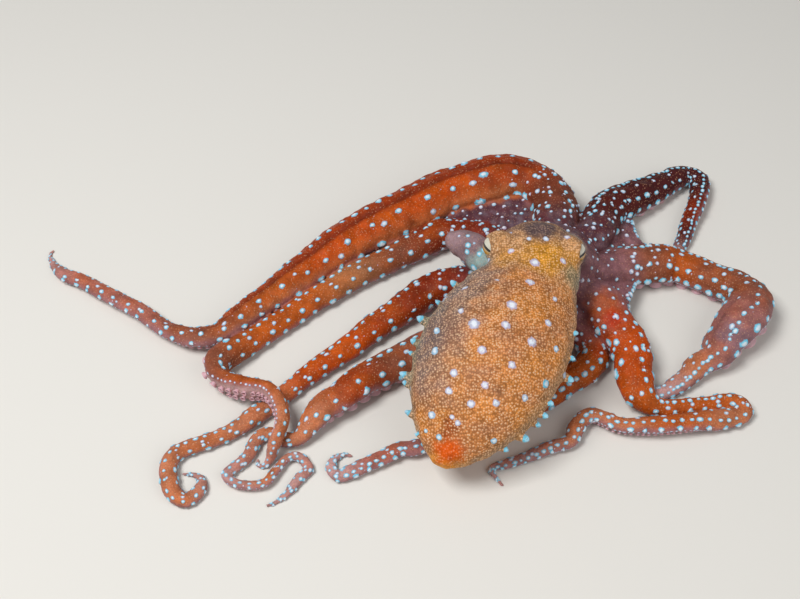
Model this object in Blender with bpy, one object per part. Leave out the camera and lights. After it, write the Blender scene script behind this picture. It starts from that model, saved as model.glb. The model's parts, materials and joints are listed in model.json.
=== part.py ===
"""White-spotted octopus, life size, crawling over the seabed with its mantle trailing behind its head.

Lengths are in millimetres until a mesh is made. Plan positions are measured from the middle of the
arm crown, where the eight arms meet under the head: +X to the animal's right, +Y the way it faces, +Z up.
"""
import math

import bmesh
import bpy
from mathutils import Vector

# Millimetres to Blender's metres, and the clearance that neighbouring pieces keep
MM = 0.001
GAP = 0.3
# Where the middle of the arm crown stands, from the middle of the footprint
CROWN_AT = Vector((64.5, 17.4, 0.0))

# Cross-section of an arm, as shares of its width
ARM_BACK = 0.42
ARM_SOLE = 0.26
SUCKER_RISE = 0.08
ARM_TIP_WIDTH = 1.2
WIDE_ARM = 15.0
# Rings of an arm: the step from one to the next, and the most that it turns between them in degrees
RING_STEP_MORE = 1.5
RING_STEP_SHARE = 0.45
LEAST_STEP = 1.2
MOST_TURN = 22
# Suckers stand in two alternating rows under each arm, from a narrow foot to a wider rim, as shares of
# the arm's width; from one to the next along the arm is a share of the width plus a little
SUCKER_OFFSET = 0.23
SUCKER_RIM = 0.19
SUCKER_FOOT = 0.13
SUCKER_SUNK = 0.14
SUCKER_ROOM = 1.25
SUCKER_SIDES = 5
SUCKER_STEP_SHARE = 0.52
SUCKER_STEP_MORE = 1.6
FIRST_SUCKER_AT = 20.0
# Turns of the suckers about their own axes, in degrees, tried until a joined surface is clean
SUCKER_TURNS = (0, 9, 18, 27, 36, 45, 54, 63)
SLIVER = 0.005

# Each arm: route points (x, y, lift of the sole above the seabed), widths at equal shares of the
# length, the arm's roll in degrees at equal shares, where the web lets go of it, and the cuts
# between its lengths as shares of the whole arm
ARMS = {
    "arm_left_1": {
        "route": [
            (-4, 7, 13), (3, 21, 9), (5.5, 36, 6), (3, 47.5, 4.5), (-2.5, 55.5, 3), (-10, 59, 2),
            (-18, 59, 1), (-25.5, 57, 0.5), (-34, 54.5, 0), (-44, 51, 0), (-54, 44.5, 0), (-64, 38, 0),
            (-74.5, 31.5, 0), (-84, 25, 0), (-93, 17.5, 0), (-102, 9, 0), (-110, 0.4, 0),
            (-117.5, -7, 0), (-125, -14, 0), (-132, -22, 0.5), (-138.5, -29, 1), (-146.5, -30.5, 1),
            (-154, -28, 0.5), (-162.5, -23, 0), (-171.5, -15.5, 0), (-181, -9.5, 0), (-190.5, -3.5, 0),
            (-199.5, 2.5, 0), (-208, 6.5, 0), (-214, 12.5, 0), (-216.5, 16.5, 0), (-218, 20.5, 0),
            (-217, 23, 0),
        ],
        "widths": (17, 19.3, 20.4, 25, 22.8, 21.8, 19.3, 15.8, 12.6, 10.7, 8.3, 7.9, 6.8, ARM_TIP_WIDTH),
        "rolls": (0, 0, 0, 0, 0, 0, 10, 20, 20, 10, 0),
        "web": 46,
        "cuts": (0.27, 0.49, 0.72),
    },
    "arm_left_2": {
        "route": [
            (-12, 5, 11), (-20, 16, 6), (-28, 25, 3), (-44, 28, 1), (-49, 25.5, 0), (-58, 20, 0),
            (-66.5, 14.5, 0), (-75.5, 9, 0), (-84.5, 3, 0), (-93, -4, 0), (-101.5, -10.5, 0),
            (-109, -17.5, 0), (-117, -24.5, 0), (-125.5, -32.5, 0), (-132, -38.5, 0), (-136.5, -43, 0),
            (-136.5, -49, 0), (-131.5, -54, 1), (-124, -58, 3.5), (-115.5, -60.5, 6),
            (-110.5, -66.5, 7), (-108.5, -73, 7), (-109.5, -78.5, 6), (-111.5, -82.5, 3.5),
            (-112.5, -85.5, 1), (-114.5, -88, 0), (-117.5, -87.5, 0), (-117.5, -85, 0),
        ],
        "widths": (14, 13.4, 13.9, 13.2, 11.9, 11.4, 10.3, 9.6, 9.8, 12.6, 11, 9.2, 5.9, ARM_TIP_WIDTH),
        "rolls": (0, 0, 0, 0, 0, 0, 0, -45, -55, -20, 0),
        "web": 36,
        "cuts": (0.33, 0.56, 0.68, 0.81),
    },
    "arm_left_3": {
        "route": [
            (-14, -2, 9), (-28, -1, 4), (-49, -4, 0.5), (-60, -12.5, 0), (-68, -19, 0),
            (-75.5, -25, 0), (-84, -33.5, 0), (-92, -40, 0), (-100, -47, 0), (-106.5, -53.5, 0),
            (-114, -61, 0), (-121, -67.5, 0), (-128, -73.5, 0), (-135.5, -77.5, 0), (-141.5, -80, 0),
            (-147.5, -83, 0), (-150.5, -87.5, 0), (-150, -94.5, 0), (-147.5, -100.5, 0),
            (-142.5, -103.5, 0), (-138, -99, 0), (-138, -94.5, 0), (-141, -92, 0.2),
            (-145.5, -91.5, 0.4),
        ],
        "widths": (15, 15, 15.7, 14.6, 12.5, 11.1, 9.7, 8.2, 8.2, 6.2, 6.2, 6.8, 5.5, ARM_TIP_WIDTH),
        "rolls": (0, 0, 0, 0, 0, 0, 0, -15, -20, 0, 0),
        "web": 30,
        "cuts": (0.36, 0.62, 0.8),
    },
    "arm_left_4": {
        "route": [
            (-10, -10, 7), (-24, -21, 3), (-44, -31.5, 2), (-62, -42, 1), (-70.5, -47, 0), (-78, -52.5, 0),
            (-85, -59, 0), (-92.5, -64.5, 0), (-97.5, -70.5, 0), (-102, -77, 0), (-108, -77.5, 0),
            (-112, -75, 0), (-116, -74.5, 0), (-119, -78, 0), (-121.5, -85, 0), (-127, -90.5, 0),
            (-128.5, -93.5, 0), (-125, -96.5, 0), (-119.5, -97.5, 0), (-114, -96.5, 0),
            (-110.5, -91.5, 0), (-106.5, -85.5, 0), (-102, -84.5, 0), (-98, -89.5, 0),
            (-101.5, -94, 0), (-105, -99.5, 0), (-109.5, -103.5, 0), (-113, -105, 0),
        ],
        "widths": (14, 14, 14.6, 15.3, 14.8, 14.8, 12.8, 6.9, 5.4, 4.3, 4.4, 3.9, 4.1, ARM_TIP_WIDTH),
        "rolls": (0, 0, 0, 0, 20, 20, 0, -35, -35, 0, 0),
        "web": 28,
        "cuts": (0.28, 0.48, 0.66, 0.84),
    },
    "arm_right_4": {
        "route": [
            (2, -15, 6), (9.5, -24, 2.5), (14, -31.5, 0.5), (15.5, -37.5, 0), (13, -43, 0), (7.5, -48, 0),
            (1, -52.5, 0), (-6, -58.5, 0), (-22, -67.5, 0), (-55.5, -81, 0), (-63, -82, 0),
            (-71, -86, 0), (-79, -90, 0), (-86, -93, 0), (-89.5, -89.5, 0), (-88.5, -85.5, 0),
            (-85, -83, 0), (-81.5, -83.5, 0),
        ],
        "widths": (13, 13, 12.5, 12.3, 11.5, 9.8, 9.1, 8.4, 7.7, 7.1, 6.6, 6.1, 4.3, ARM_TIP_WIDTH),
        "rolls": (0, 0, 0, 0, 0, 10, 20, 20, 10, 0, 0),
        "web": 26,
        "cuts": (0.36, 0.66),
    },
    "arm_right_3": {
        "route": [
            (10, -11, 10), (20, -19, 8), (22, -25.5, 6), (27.5, -34.5, 4.5), (29, -43, 4),
            (28.5, -51, 4), (29.5, -57.5, 2.5), (33.5, -62, 0.8), (41, -63.5, 0), (50, -62, 0),
            (59, -60.8, 0), (66, -60, 0), (70.5, -62.3, 0), (69, -66.6, 0), (61, -68.6, 0),
            (52.5, -70, 0), (42.5, -71.8, 0), (29, -72.5, 0), (20.5, -71.5, 0), (15.5, -68.5, 0),
            (10, -67, 0), (5, -72, 0), (1.4, -78.5, 0), (-5.5, -80.5, 0), (-15, -84.5, 0),
            (-23, -87.5, 0), (-29, -89.5, 0), (-25, -96.5, 0),
        ],
        "widths": (15, 17.4, 16.3, 14.3, 7.4, 6.2, 7.4, 9.6, 9.2, 7.6, 7.1, 5.4, 4, ARM_TIP_WIDTH),
        "rolls": (0, 0, 0, 20, 20, 0, 30, 30, 20, 0, 0),
        "web": 36,
        "cuts": (0.22, 0.41, 0.62, 0.82),
    },
    "arm_right_2": {
        "route": [
            (13, -2, 11), (25, 2, 6), (34, 6, 2.5), (44, 8, 1), (53, 9.5, 0), (62, 6, 0),
            (70.5, 1, 0), (78, -4.5, 0), (81.5, -12, 0), (79.5, -20, 0), (74, -27, 0),
            (68.5, -33, 0), (64, -39.5, 0), (57, -43, 0), (51.5, -48.5, 0), (45, -53, 0), (39, -56, 0),
            (35.5, -53, 0), (32, -50.5, 0), (29.5, -48, 0),
        ],
        "widths": (15, 15.9, 18.6, 19.3, 16.6, 15.8, 16.4, 20, 20, 15.5, 10.8, 8, 6.1, ARM_TIP_WIDTH),
        "rolls": (0, 0, 0, 0, 0, 15, 25, 20, 10, 0, 0),
        "web": 37,
        "cuts": (0.4, 0.7),
    },
    "arm_right_1": {
        "route": [
            (9, 8, 12), (21, 21, 8), (28.5, 38, 4), (40, 48, 1), (51, 55.5, 0), (60.5, 62, 0),
            (69.5, 67, 0), (75, 64, 0), (74.5, 56.5, 0), (71, 47, 0), (66.5, 37.5, 0), (62, 26.5, 0),
            (59.5, 23, 0), (56, 21, 0), (52.5, 21.5, 0),
        ],
        "widths": (15, 15.6, 16.4, 17.5, 18, 17.3, 14.9, 12.2, 8.9, 8.8, 8.3, 7.4, 6.3, ARM_TIP_WIDTH),
        "rolls": (0, 0, 0, 0, 0, 0, 15, 25, 25, 10, 0),
        "web": 38,
        "cuts": (0.53,),
    },
}
# The ring of arms as it stands round the mouth, each with its neighbour
RING = [
    "arm_left_1", "arm_right_1", "arm_right_2", "arm_right_3",
    "arm_right_4", "arm_left_4", "arm_left_3", "arm_left_2",
]
WEB_THICKNESS = 1.8
WEB_SCALLOP = 0.2
WEB_SHORT = 1.5
# Where the web hangs further out, how far it follows the one arm and the other
WEB_FAR = {("arm_left_2", "arm_left_1"): (56, 106), ("arm_right_1", "arm_right_2"): (58, 44)}
WEB_ROWS = 6
CROWN_RADIUS = 19.0
CROWN_HALF_HEIGHT = 12.0
CROWN_HEIGHT = 19.0

# Body spine, from the brow over the eyes and neck to the mantle's tip
SPINE = [(-5.8, 3, 34.5), (-9, -14, 35.5), (-13.2, -27, 34.5), (-31, -62, 30), (-49, -98, 17.5)]
# Body outline: share of the spine, half width, height of the back, depth of the belly
BODY = [
    (0.0, 6.0, 4.0, 4.0),
    (0.02, 11.0, 7.0, 7.5),
    (0.06, 15.0, 9.5, 10.0),
    (0.13, 17.0, 10.8, 11.0),
    (0.20, 17.8, 11.4, 10.5),
    (0.27, 19.2, 12.2, 10.0),
    (0.35, 23.2, 14.5, 10.5),
    (0.46, 26.6, 17.5, 12.0),
    (0.58, 28.0, 18.5, 13.0),
    (0.70, 26.6, 17.2, 12.5),
    (0.81, 22.3, 14.2, 11.0),
    (0.90, 15.8, 10.0, 8.5),
    (0.96, 9.6, 6.2, 5.5),
    (1.0, 3.0, 2.4, 2.2),
]
NECK_AT = 0.27
BODY_SIDES = 20
# The larger raised spots of the mantle: share of the spine, turn round it from its right side in
# degrees, height; the ones low on the flanks stand out as soft points
PAPILLAE = [
    (0.41, 18, 3.0), (0.51, 20, 2.6), (0.57, 8, 4.5), (0.65, 6, 3.4), (0.69, 4, 3.0), (0.77, 6, 4.8),
    (0.79, 0, 3.4), (0.88, 6, 3.2), (0.94, 12, 2.0), (0.42, 163, 2.6), (0.50, 172, 2.6), (0.56, 183, 4.2),
    (0.68, 172, 2.6), (0.72, 178, 3.0), (0.75, 186, 3.0), (0.81, 180, 3.6), (0.87, 184, 2.4),
    (0.45, 85, 1.6), (0.53, 92, 1.6), (0.56, 55, 1.8), (0.54, 126, 1.8), (0.64, 78, 1.6), (0.64, 116, 1.6),
    (0.72, 96, 1.6), (0.78, 60, 1.6), (0.85, 110, 1.6), (0.33, 92, 1.4), (0.35, 134, 1.4), (0.36, 48, 1.6),
]
PAPILLA_SLOPE = 0.36
PAPILLA_SUNK = 1.2
PAPILLA_TIP = 0.8
PAPILLA_SIDES = 4

EYES = {"eye_left": Vector((-26.2, -10.8, 39.5)), "eye_right": Vector((5.4, -13.6, 39.5))}
EYE_RADIUS = 4.6
BROW_RADII = (6.6, 7.4, 6.0)
BROW_INSET = 2.6

# The siphon comes out of the mantle's opening beside the left eye
SIPHON = [(-20, -16.5, 26.7), (-27.4, -8, 27), (-33.4, -0.8, 27), (-38.4, 3.5, 26.5), (-43.2, 6.5, 26)]
SIPHON_WIDTHS = (12.0, 13.0, 14.0, 14.0, 12.0, 7.0)
SIPHON_SIDES = 12


def clear_scene():
    for obj in list(bpy.data.objects):
        bpy.data.objects.remove(obj, do_unlink=True)


def at_share(values, share):
    """A value read from a list that is spread evenly over 0 to 1, eased between its entries."""
    place = min(max(share, 0.0), 1.0) * (len(values) - 1)
    first = min(int(place), len(values) - 2)
    part = place - first
    eased = part * part * (3 - 2 * part)
    return values[first] * (1 - eased) + values[first + 1] * eased


def curve_through(points, steps=24):
    """A smooth curve through the points, as a dense list of positions."""
    knots = [Vector(p) for p in points]
    knots = [2 * knots[0] - knots[1]] + knots + [2 * knots[-1] - knots[-2]]
    dense = []
    for a, b, c, d in zip(knots, knots[1:], knots[2:], knots[3:]):
        for i in range(steps):
            t = i / steps
            bend = (2 * a - 5 * b + 4 * c - d) * t**2 + (3 * b - a - 3 * c + d) * t**3
            dense.append(0.5 * (2 * b + (c - a) * t + bend))
    dense.append(knots[-2].copy())
    return dense


class Path:
    """A curve that is read by the distance along it."""

    def __init__(self, dense):
        self.points = dense
        self.along = [0.0]
        for a, b in zip(dense, dense[1:]):
            self.along.append(self.along[-1] + (b - a).length)
        self.length = self.along[-1]

    def at(self, distance):
        distance = min(max(distance, 0.0), self.length)
        low, high = 0, len(self.along) - 1
        while high - low > 1:
            middle = (low + high) // 2
            if self.along[middle] <= distance:
                low = middle
            else:
                high = middle
        span = self.along[high] - self.along[low]
        part = (distance - self.along[low]) / span if span else 0.0
        return self.points[low].lerp(self.points[high], part)

    def direction(self, distance, reach=0.6):
        distance = min(max(distance, 0.0), self.length)
        return (self.at(distance + reach) - self.at(distance - reach)).normalized()


class Arm:
    """One arm: where its middle line runs, how wide it is there and which way its back faces."""

    def __init__(self, name, shape):
        self.name = name
        self.shape = shape
        self.floor_path = Path(curve_through(shape["route"]))
        raised = []
        for point, distance in zip(self.floor_path.points, self.floor_path.along):
            share = distance / self.floor_path.length
            raised.append(Vector((point.x, point.y, max(point.z, 0.0) + self.support(share))))
        self.path = Path(raised)
        self.length = self.path.length

    def width(self, share):
        return at_share(self.shape["widths"], share)

    def support(self, share):
        """How high the middle line stands over the lowest point of the section, suckers included."""
        roll = math.radians(at_share(self.shape["rolls"], share))
        down, across = math.cos(roll), abs(math.sin(roll))
        flesh = math.hypot(ARM_SOLE * down, 0.5 * across)
        rim = (ARM_SOLE + SUCKER_RISE) * down + (SUCKER_OFFSET + SUCKER_RIM) * across
        return self.width(share) * max(flesh, rim)

    def frame(self, distance):
        """Middle, the way along, the way the back faces and the way to the side."""
        share = distance / self.length
        along = self.path.direction(distance)
        back = (Vector((0, 0, 1)) - along * along.z).normalized()
        side = along.cross(back)
        roll = math.radians(at_share(self.shape["rolls"], share))
        turned = back * math.cos(roll) + side * math.sin(roll)
        return self.path.at(distance), along, turned, along.cross(turned)

    def ring(self, distance, sides):
        middle, _, back, side = self.frame(distance)
        width = self.width(distance / self.length)
        ring = []
        for i in range(sides):
            turn = 2 * math.pi * (i + 0.5) / sides
            height = ARM_BACK if math.sin(turn) > 0 else ARM_SOLE
            across = side * (0.5 * width * math.cos(turn))
            ring.append(middle + across + back * (height * width * math.sin(turn)))
        return ring

    def turn(self, start, end):
        """How far the arm bends between two distances, in degrees."""
        return math.degrees(self.path.direction(start).angle(self.path.direction(end)))

    def stations(self, start, end):
        """Where the rings stand: closer on bends and where the arm is thin."""
        stations = [start]
        while stations[-1] < end:
            here = stations[-1]
            step = RING_STEP_MORE + RING_STEP_SHARE * self.width(here / self.length)
            while step > LEAST_STEP and self.turn(here, here + step) > MOST_TURN:
                step *= 0.85
            stations.append(here + step)
        if len(stations) > 2 and end - stations[-2] < 0.5 * (stations[-2] - stations[-3]):
            stations.pop()
        stations[-1] = end
        return stations


def on_floor(point):
    """The point in the part's frame, kept from passing below the level that the animal lies on."""
    point = CROWN_AT + point
    point.z = max(point.z, 0.0)
    return point


def mesh_of(name, rings):
    """A closed mesh lofted through rings of equal size, capped flat at both ends."""
    sides = len(rings[0])
    points = [on_floor(p) for ring in rings for p in ring]
    faces = []
    for r in range(len(rings) - 1):
        for i in range(sides):
            j = (i + 1) % sides
            faces.append((r * sides + i, r * sides + j, (r + 1) * sides + j, (r + 1) * sides + i))
    faces.append(tuple(range(sides - 1, -1, -1)))
    last = (len(rings) - 1) * sides
    faces.append(tuple(range(last, last + sides)))
    mesh = bpy.data.meshes.new(name)
    mesh.from_pydata([p * MM for p in points], [], faces)
    work = bmesh.new()
    work.from_mesh(mesh)
    bmesh.ops.recalc_face_normals(work, faces=work.faces)
    work.to_mesh(mesh)
    work.free()
    return mesh


def place(name, mesh, material):
    obj = bpy.data.objects.new(name, mesh)
    bpy.context.scene.collection.objects.link(obj)
    mesh.materials.clear()
    mesh.materials.append(material)
    return obj


def material(name, colour, roughness):
    made = bpy.data.materials.new(name)
    made.use_nodes = True
    shader = made.node_tree.nodes["Principled BSDF"]
    shader.inputs["Base Color"].default_value = (*colour, 1.0)
    shader.inputs["Roughness"].default_value = roughness
    return made


def replace_mesh(obj, mesh):
    old = obj.data
    obj.modifiers.clear()
    obj.data = mesh
    bpy.data.meshes.remove(old)


def largest_shell(mesh):
    """Keeps only the closed surface with the widest box, and drops scraps of a cut or a fused hollow."""
    work = bmesh.new()
    work.from_mesh(mesh)
    unseen = set(work.verts)
    shells = []
    while unseen:
        shell, edge = set(), [unseen.pop()]
        while edge:
            vert = edge.pop()
            shell.add(vert)
            for link in vert.link_edges:
                other = link.other_vert(vert)
                if other in unseen:
                    unseen.discard(other)
                    edge.append(other)
        shells.append(shell)

    def reach(shell):
        lows = [min(v.co[i] for v in shell) for i in range(3)]
        highs = [max(v.co[i] for v in shell) for i in range(3)]
        return sum(h - l for h, l in zip(highs, lows))

    shells.sort(key=reach, reverse=True)
    for shell in shells[1:]:
        bmesh.ops.delete(work, geom=list(shell), context="VERTS")
    bmesh.ops.dissolve_degenerate(work, dist=SLIVER * MM, edges=work.edges)
    bmesh.ops.triangulate(work, faces=work.faces)
    work.to_mesh(mesh)
    work.free()
    return mesh


def is_clean(obj):
    """True where each edge of the triangulated surface has exactly two faces."""
    work = bmesh.new()
    work.from_mesh(obj.data)
    clean = all(len(edge.link_faces) == 2 for edge in work.edges)
    work.free()
    return clean


def first_clean(make):
    """Makes a piece with its suckers turned a little further each time, until its surface is clean."""
    for turn in SUCKER_TURNS:
        obj = make(turn)
        if is_clean(obj):
            break
        if turn != SUCKER_TURNS[-1]:
            bpy.data.objects.remove(obj, do_unlink=True)
    return obj


def apply_boolean(obj, operation, others, solver="MANIFOLD"):
    """Joins or cuts obj with other closed meshes, then removes those."""
    group = bpy.data.collections.new("operands")
    bpy.context.scene.collection.children.link(group)
    for mesh in others:
        group.objects.link(bpy.data.objects.new("operand", mesh))
    step = obj.modifiers.new("Boolean", "BOOLEAN")
    step.operation = operation
    step.operand_type = "COLLECTION"
    step.collection = group
    step.solver = solver
    graph = bpy.context.evaluated_depsgraph_get()
    result = bpy.data.meshes.new_from_object(obj.evaluated_get(graph))
    replace_mesh(obj, largest_shell(result))
    for operand in list(group.objects):
        bpy.data.objects.remove(operand, do_unlink=True)
    bpy.data.collections.remove(group)
    return obj


def swollen(obj, by):
    """A copy of the object's mesh, grown outwards by a distance, to cut its neighbours with."""
    work = bmesh.new()
    work.from_mesh(obj.data)
    work.normal_update()
    for vert in work.verts:
        vert.co += vert.normal * (vert.calc_shell_factor() * by * MM)
    mesh = bpy.data.meshes.new("cutter")
    work.to_mesh(mesh)
    work.free()
    return mesh


def cut_clear(obj, *others, by=GAP + 0.05):
    return apply_boolean(obj, "DIFFERENCE", [swollen(other, by) for other in others])


def arm_mesh(name, arm, start, end, sides):
    return mesh_of(name, [arm.ring(s, sides) for s in arm.stations(start, end)])


def sucker(arm, distance, row, turned):
    """One sucker in the left (-1) or right (1) row, from inside the arm down to its flat rim."""
    middle, along, back, side = arm.frame(distance)
    width = arm.width(distance / arm.length)
    middle = middle + side * (row * SUCKER_OFFSET * width)
    rings = []
    for depth, radius in ((SUCKER_SUNK, SUCKER_FOOT), (ARM_SOLE + SUCKER_RISE, SUCKER_RIM)):
        ring = []
        for i in range(SUCKER_SIDES):
            turn = 2 * math.pi * i / SUCKER_SIDES + math.radians(turned)
            offset = along * math.cos(turn) + side * math.sin(turn)
            ring.append(middle - back * (depth * width) + offset * (radius * width))
        rings.append(ring)
    return mesh_of("sucker", rings)


def sucker_places(arm):
    """Distances along an arm at which its suckers stand, out to the tip, each with its row."""
    places = []
    distance = FIRST_SUCKER_AT
    row = 1
    while distance < arm.length - 1.0:
        places.append((distance, row))
        row = -row
        distance += SUCKER_STEP_MORE + SUCKER_STEP_SHARE * arm.width(distance / arm.length)
    return places


def suckers_between(arm, start, end, turned):
    """The suckers of one length of the arm, those near a cut moved so that they stand wholly on it."""
    made = []
    for distance, row in sucker_places(arm):
        if start <= distance < end:
            room = SUCKER_ROOM * SUCKER_RIM * arm.width(distance / arm.length) + GAP
            distance = min(max(distance, start + room), end - room)
            made.append(sucker(arm, distance, row, turned))
    return made


def ball(name, centre, radii, segments=16, rings=10):
    mesh = bpy.data.meshes.new(name)
    work = bmesh.new()
    bmesh.ops.create_uvsphere(work, u_segments=segments, v_segments=rings, radius=1.0)
    for vert in work.verts:
        vert.co = Vector(vert.co[i] * radii[i] for i in range(3))
        vert.co = (CROWN_AT + centre + vert.co) * MM
    work.to_mesh(mesh)
    work.free()
    return mesh


def web_mesh(first, second, columns=6):
    """The skin between two neighbouring arms: hung from their middle lines, scalloped at its free edge."""
    reach = [arm.shape["web"] - WEB_SHORT for arm in (first, second)]
    reach = WEB_FAR.get((first.name, second.name), reach)
    rows = WEB_ROWS
    sheet = []
    for r in range(rows + 1):
        row = []
        for c in range(columns + 1):
            across = c / columns
            drawn_in = 1.0 - WEB_SCALLOP * math.sin(math.pi * across)
            share = (0.12 + 0.88 * r / rows) * drawn_in
            left = first.path.at(share * reach[0])
            right = second.path.at(share * reach[1])
            row.append(left.lerp(right, across))
        sheet.append(row)
    half = Vector((0, 0, WEB_THICKNESS / 2))
    outline = []
    for c in range(columns + 1):
        lower = [sheet[r][c] - half for r in range(rows + 1)]
        upper = [sheet[r][c] + half for r in range(rows, -1, -1)]
        outline.append(lower + upper)
    return mesh_of("web", outline)


def crown(arms, skin, turned):
    """The body round the mouth with the eight arm roots and the web between them, as one piece."""
    middle = Vector((0, 0, CROWN_HEIGHT))
    radii = (CROWN_RADIUS, CROWN_RADIUS, CROWN_HALF_HEIGHT)
    obj = place("arm_crown", ball("arm_crown", middle, radii), skin)
    pieces = []
    for name in RING:
        arm = arms[name]
        pieces.append(arm_mesh(name, arm, 0.0, arm.shape["web"] + GAP, 8))
        pieces.extend(suckers_between(arm, 0.0, arm.shape["web"], turned))
    for name, neighbour in zip(RING, RING[1:] + RING[:1]):
        pieces.append(web_mesh(arms[name], arms[neighbour]))
    return apply_boolean(obj, "UNION", pieces)


def body_sizes(share):
    """Half width, height of the back and depth of the belly at a share of the spine."""
    for low, high in zip(BODY, BODY[1:]):
        if share <= high[0]:
            part = (share - low[0]) / (high[0] - low[0])
            return tuple(low[i] * (1 - part) + high[i] * part for i in (1, 2, 3))
    return BODY[-1][1:]


def body_rings(start, end):
    """Rings of the head and mantle between two shares of the spine."""
    path = Path(curve_through(SPINE))
    shares = sorted({start, end, *(row[0] for row in BODY if start < row[0] < end)})
    rings = []
    for share in shares:
        half, back, belly = body_sizes(share)
        along = path.direction(share * path.length)
        up = (Vector((0, 0, 1)) - along * along.z).normalized()
        side = along.cross(up)
        middle = path.at(share * path.length)
        ring = []
        for i in range(BODY_SIDES):
            turn = 2 * math.pi * (i + 0.5) / BODY_SIDES
            height = back if math.sin(turn) > 0 else belly
            ring.append(middle + side * (half * math.cos(turn)) + up * (height * math.sin(turn)))
        rings.append(ring)
    return rings, path.length


def eye_side(name):
    """The way out of the head through an eye."""
    across = (EYES["eye_right"] - EYES["eye_left"]).normalized()
    return across if name == "eye_right" else -across


def head(skin, eyes):
    _, length = body_rings(0.0, 1.0)
    rings, _ = body_rings(0.0, NECK_AT - 0.5 * GAP / length)
    obj = place("head", mesh_of("head", rings), skin)
    brows = []
    for name, centre in EYES.items():
        middle = centre - eye_side(name) * BROW_INSET
        brows.append(ball("brow", middle, BROW_RADII, 14, 8))
    apply_boolean(obj, "UNION", brows)
    return cut_clear(obj, *eyes)


def papilla(share, turn, height):
    """A soft point on the mantle: rooted well inside it and standing out by its height."""
    path = Path(curve_through(SPINE))
    along = path.direction(share * path.length)
    up = (Vector((0, 0, 1)) - along * along.z).normalized()
    side = along.cross(up)
    half, back, belly = body_sizes(share)
    angle = math.radians(turn)
    height_here = back if math.sin(angle) > 0 else belly
    out = (side * (math.cos(angle) / half) + up * (math.sin(angle) / height_here)).normalized()
    foot = path.at(share * path.length)
    foot = foot + side * (half * math.cos(angle)) + up * (height_here * math.sin(angle))
    across = along.cross(out)
    rings = []
    foot_radius = PAPILLA_TIP + PAPILLA_SLOPE * (height + PAPILLA_SUNK)
    for rise, radius in ((-PAPILLA_SUNK, foot_radius), (height, PAPILLA_TIP)):
        ring = []
        for i in range(PAPILLA_SIDES):
            step = 2 * math.pi * i / PAPILLA_SIDES
            ring.append(foot + out * rise + (along * math.cos(step) + across * math.sin(step)) * radius)
        rings.append(ring)
    return mesh_of("papilla", rings)


def mantle(skin):
    _, length = body_rings(0.0, 1.0)
    rings, _ = body_rings(NECK_AT + 0.5 * GAP / length, 1.0)
    obj = place("mantle", mesh_of("mantle", rings), skin)
    return apply_boolean(obj, "UNION", [papilla(*row) for row in PAPILLAE])


def siphon(skin):
    path = Path(curve_through(SIPHON))
    rings = []
    last = len(SIPHON_WIDTHS) - 1
    for i, width in enumerate(SIPHON_WIDTHS):
        distance = path.length * i / last
        along = path.direction(distance)
        up = (Vector((0, 0, 1)) - along * along.z).normalized()
        side = along.cross(up)
        ring = []
        for k in range(SIPHON_SIDES):
            turn = 2 * math.pi * k / SIPHON_SIDES
            offset = side * math.cos(turn) + up * math.sin(turn)
            ring.append(path.at(distance) + offset * (width / 2))
        rings.append(ring)
    return place("siphon", mesh_of("siphon", rings), skin)


def arm_length(arm, name, start, end, skin, turned):
    sides = 10 if arm.width(start / arm.length) > WIDE_ARM else 8
    last = end - (0.0 if end == arm.length else 0.5 * GAP)
    obj = place(name, arm_mesh(name, arm, start + 0.5 * GAP, last, sides), skin)
    return apply_boolean(obj, "UNION", suckers_between(arm, start, end, turned))


def arm_lengths(arm, skin):
    """The free part of an arm, in a few lengths that meet end to end."""
    bounds = [arm.shape["web"], *(cut * arm.length for cut in arm.shape["cuts"]), arm.length]
    made = []
    for letter, start, end in zip("abcdef", bounds, bounds[1:]):
        name = f"{arm.name}_{letter}"
        made.append(first_clean(lambda turned: arm_length(arm, name, start, end, skin, turned)))
    return made


def build():
    clear_scene()
    skin = material("octopus_skin", (0.62, 0.19, 0.06), 0.45)
    body_skin = material("mantle_skin", (0.60, 0.36, 0.16), 0.5)
    iris = material("eye_iris", (0.72, 0.68, 0.5), 0.15)
    arms = {name: Arm(name, shape) for name, shape in ARMS.items()}
    eyes = []
    for name, centre in EYES.items():
        eyes.append(place(name, ball(name, centre, (EYE_RADIUS,) * 3, 12, 8), iris))
    skull = head(body_skin, eyes)
    sac = mantle(body_skin)
    lengths = {name: arm_lengths(arm, skin) for name, arm in arms.items()}
    beside = [made[0] for made in lengths.values()] + [lengths["arm_left_1"][1]]

    def cut_crown(turned):
        return cut_clear(crown(arms, skin, turned), skull, sac, *beside, by=GAP)

    middle = first_clean(cut_crown)
    cut_clear(siphon(body_skin), skull, sac, middle)


build()
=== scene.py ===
# %% [markdown]
# # A white-spotted octopus, life size
#
# The model shows the animal as it crawls, seen from behind and above: the mantle trails towards us,
# the head with its two eyes lies in front of it, and eight arms spread from under the head. The packed
# solids give its size and pose. This lesson builds the living surface over them: one unbroken skin, its
# raised white spots, the suckers and the eyes.
#
# All lengths are millimetres, measured from the middle of the arm crown under the head: +X to the
# animal's right, +Y the way it faces, +Z up. They are turned to Blender's metres when a mesh is made.

# %% Load the frame
import json
import math

import bmesh
import bpy
import numpy as np
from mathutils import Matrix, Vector
from mathutils.bvhtree import BVHTree
from mathutils.kdtree import KDTree

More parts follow.
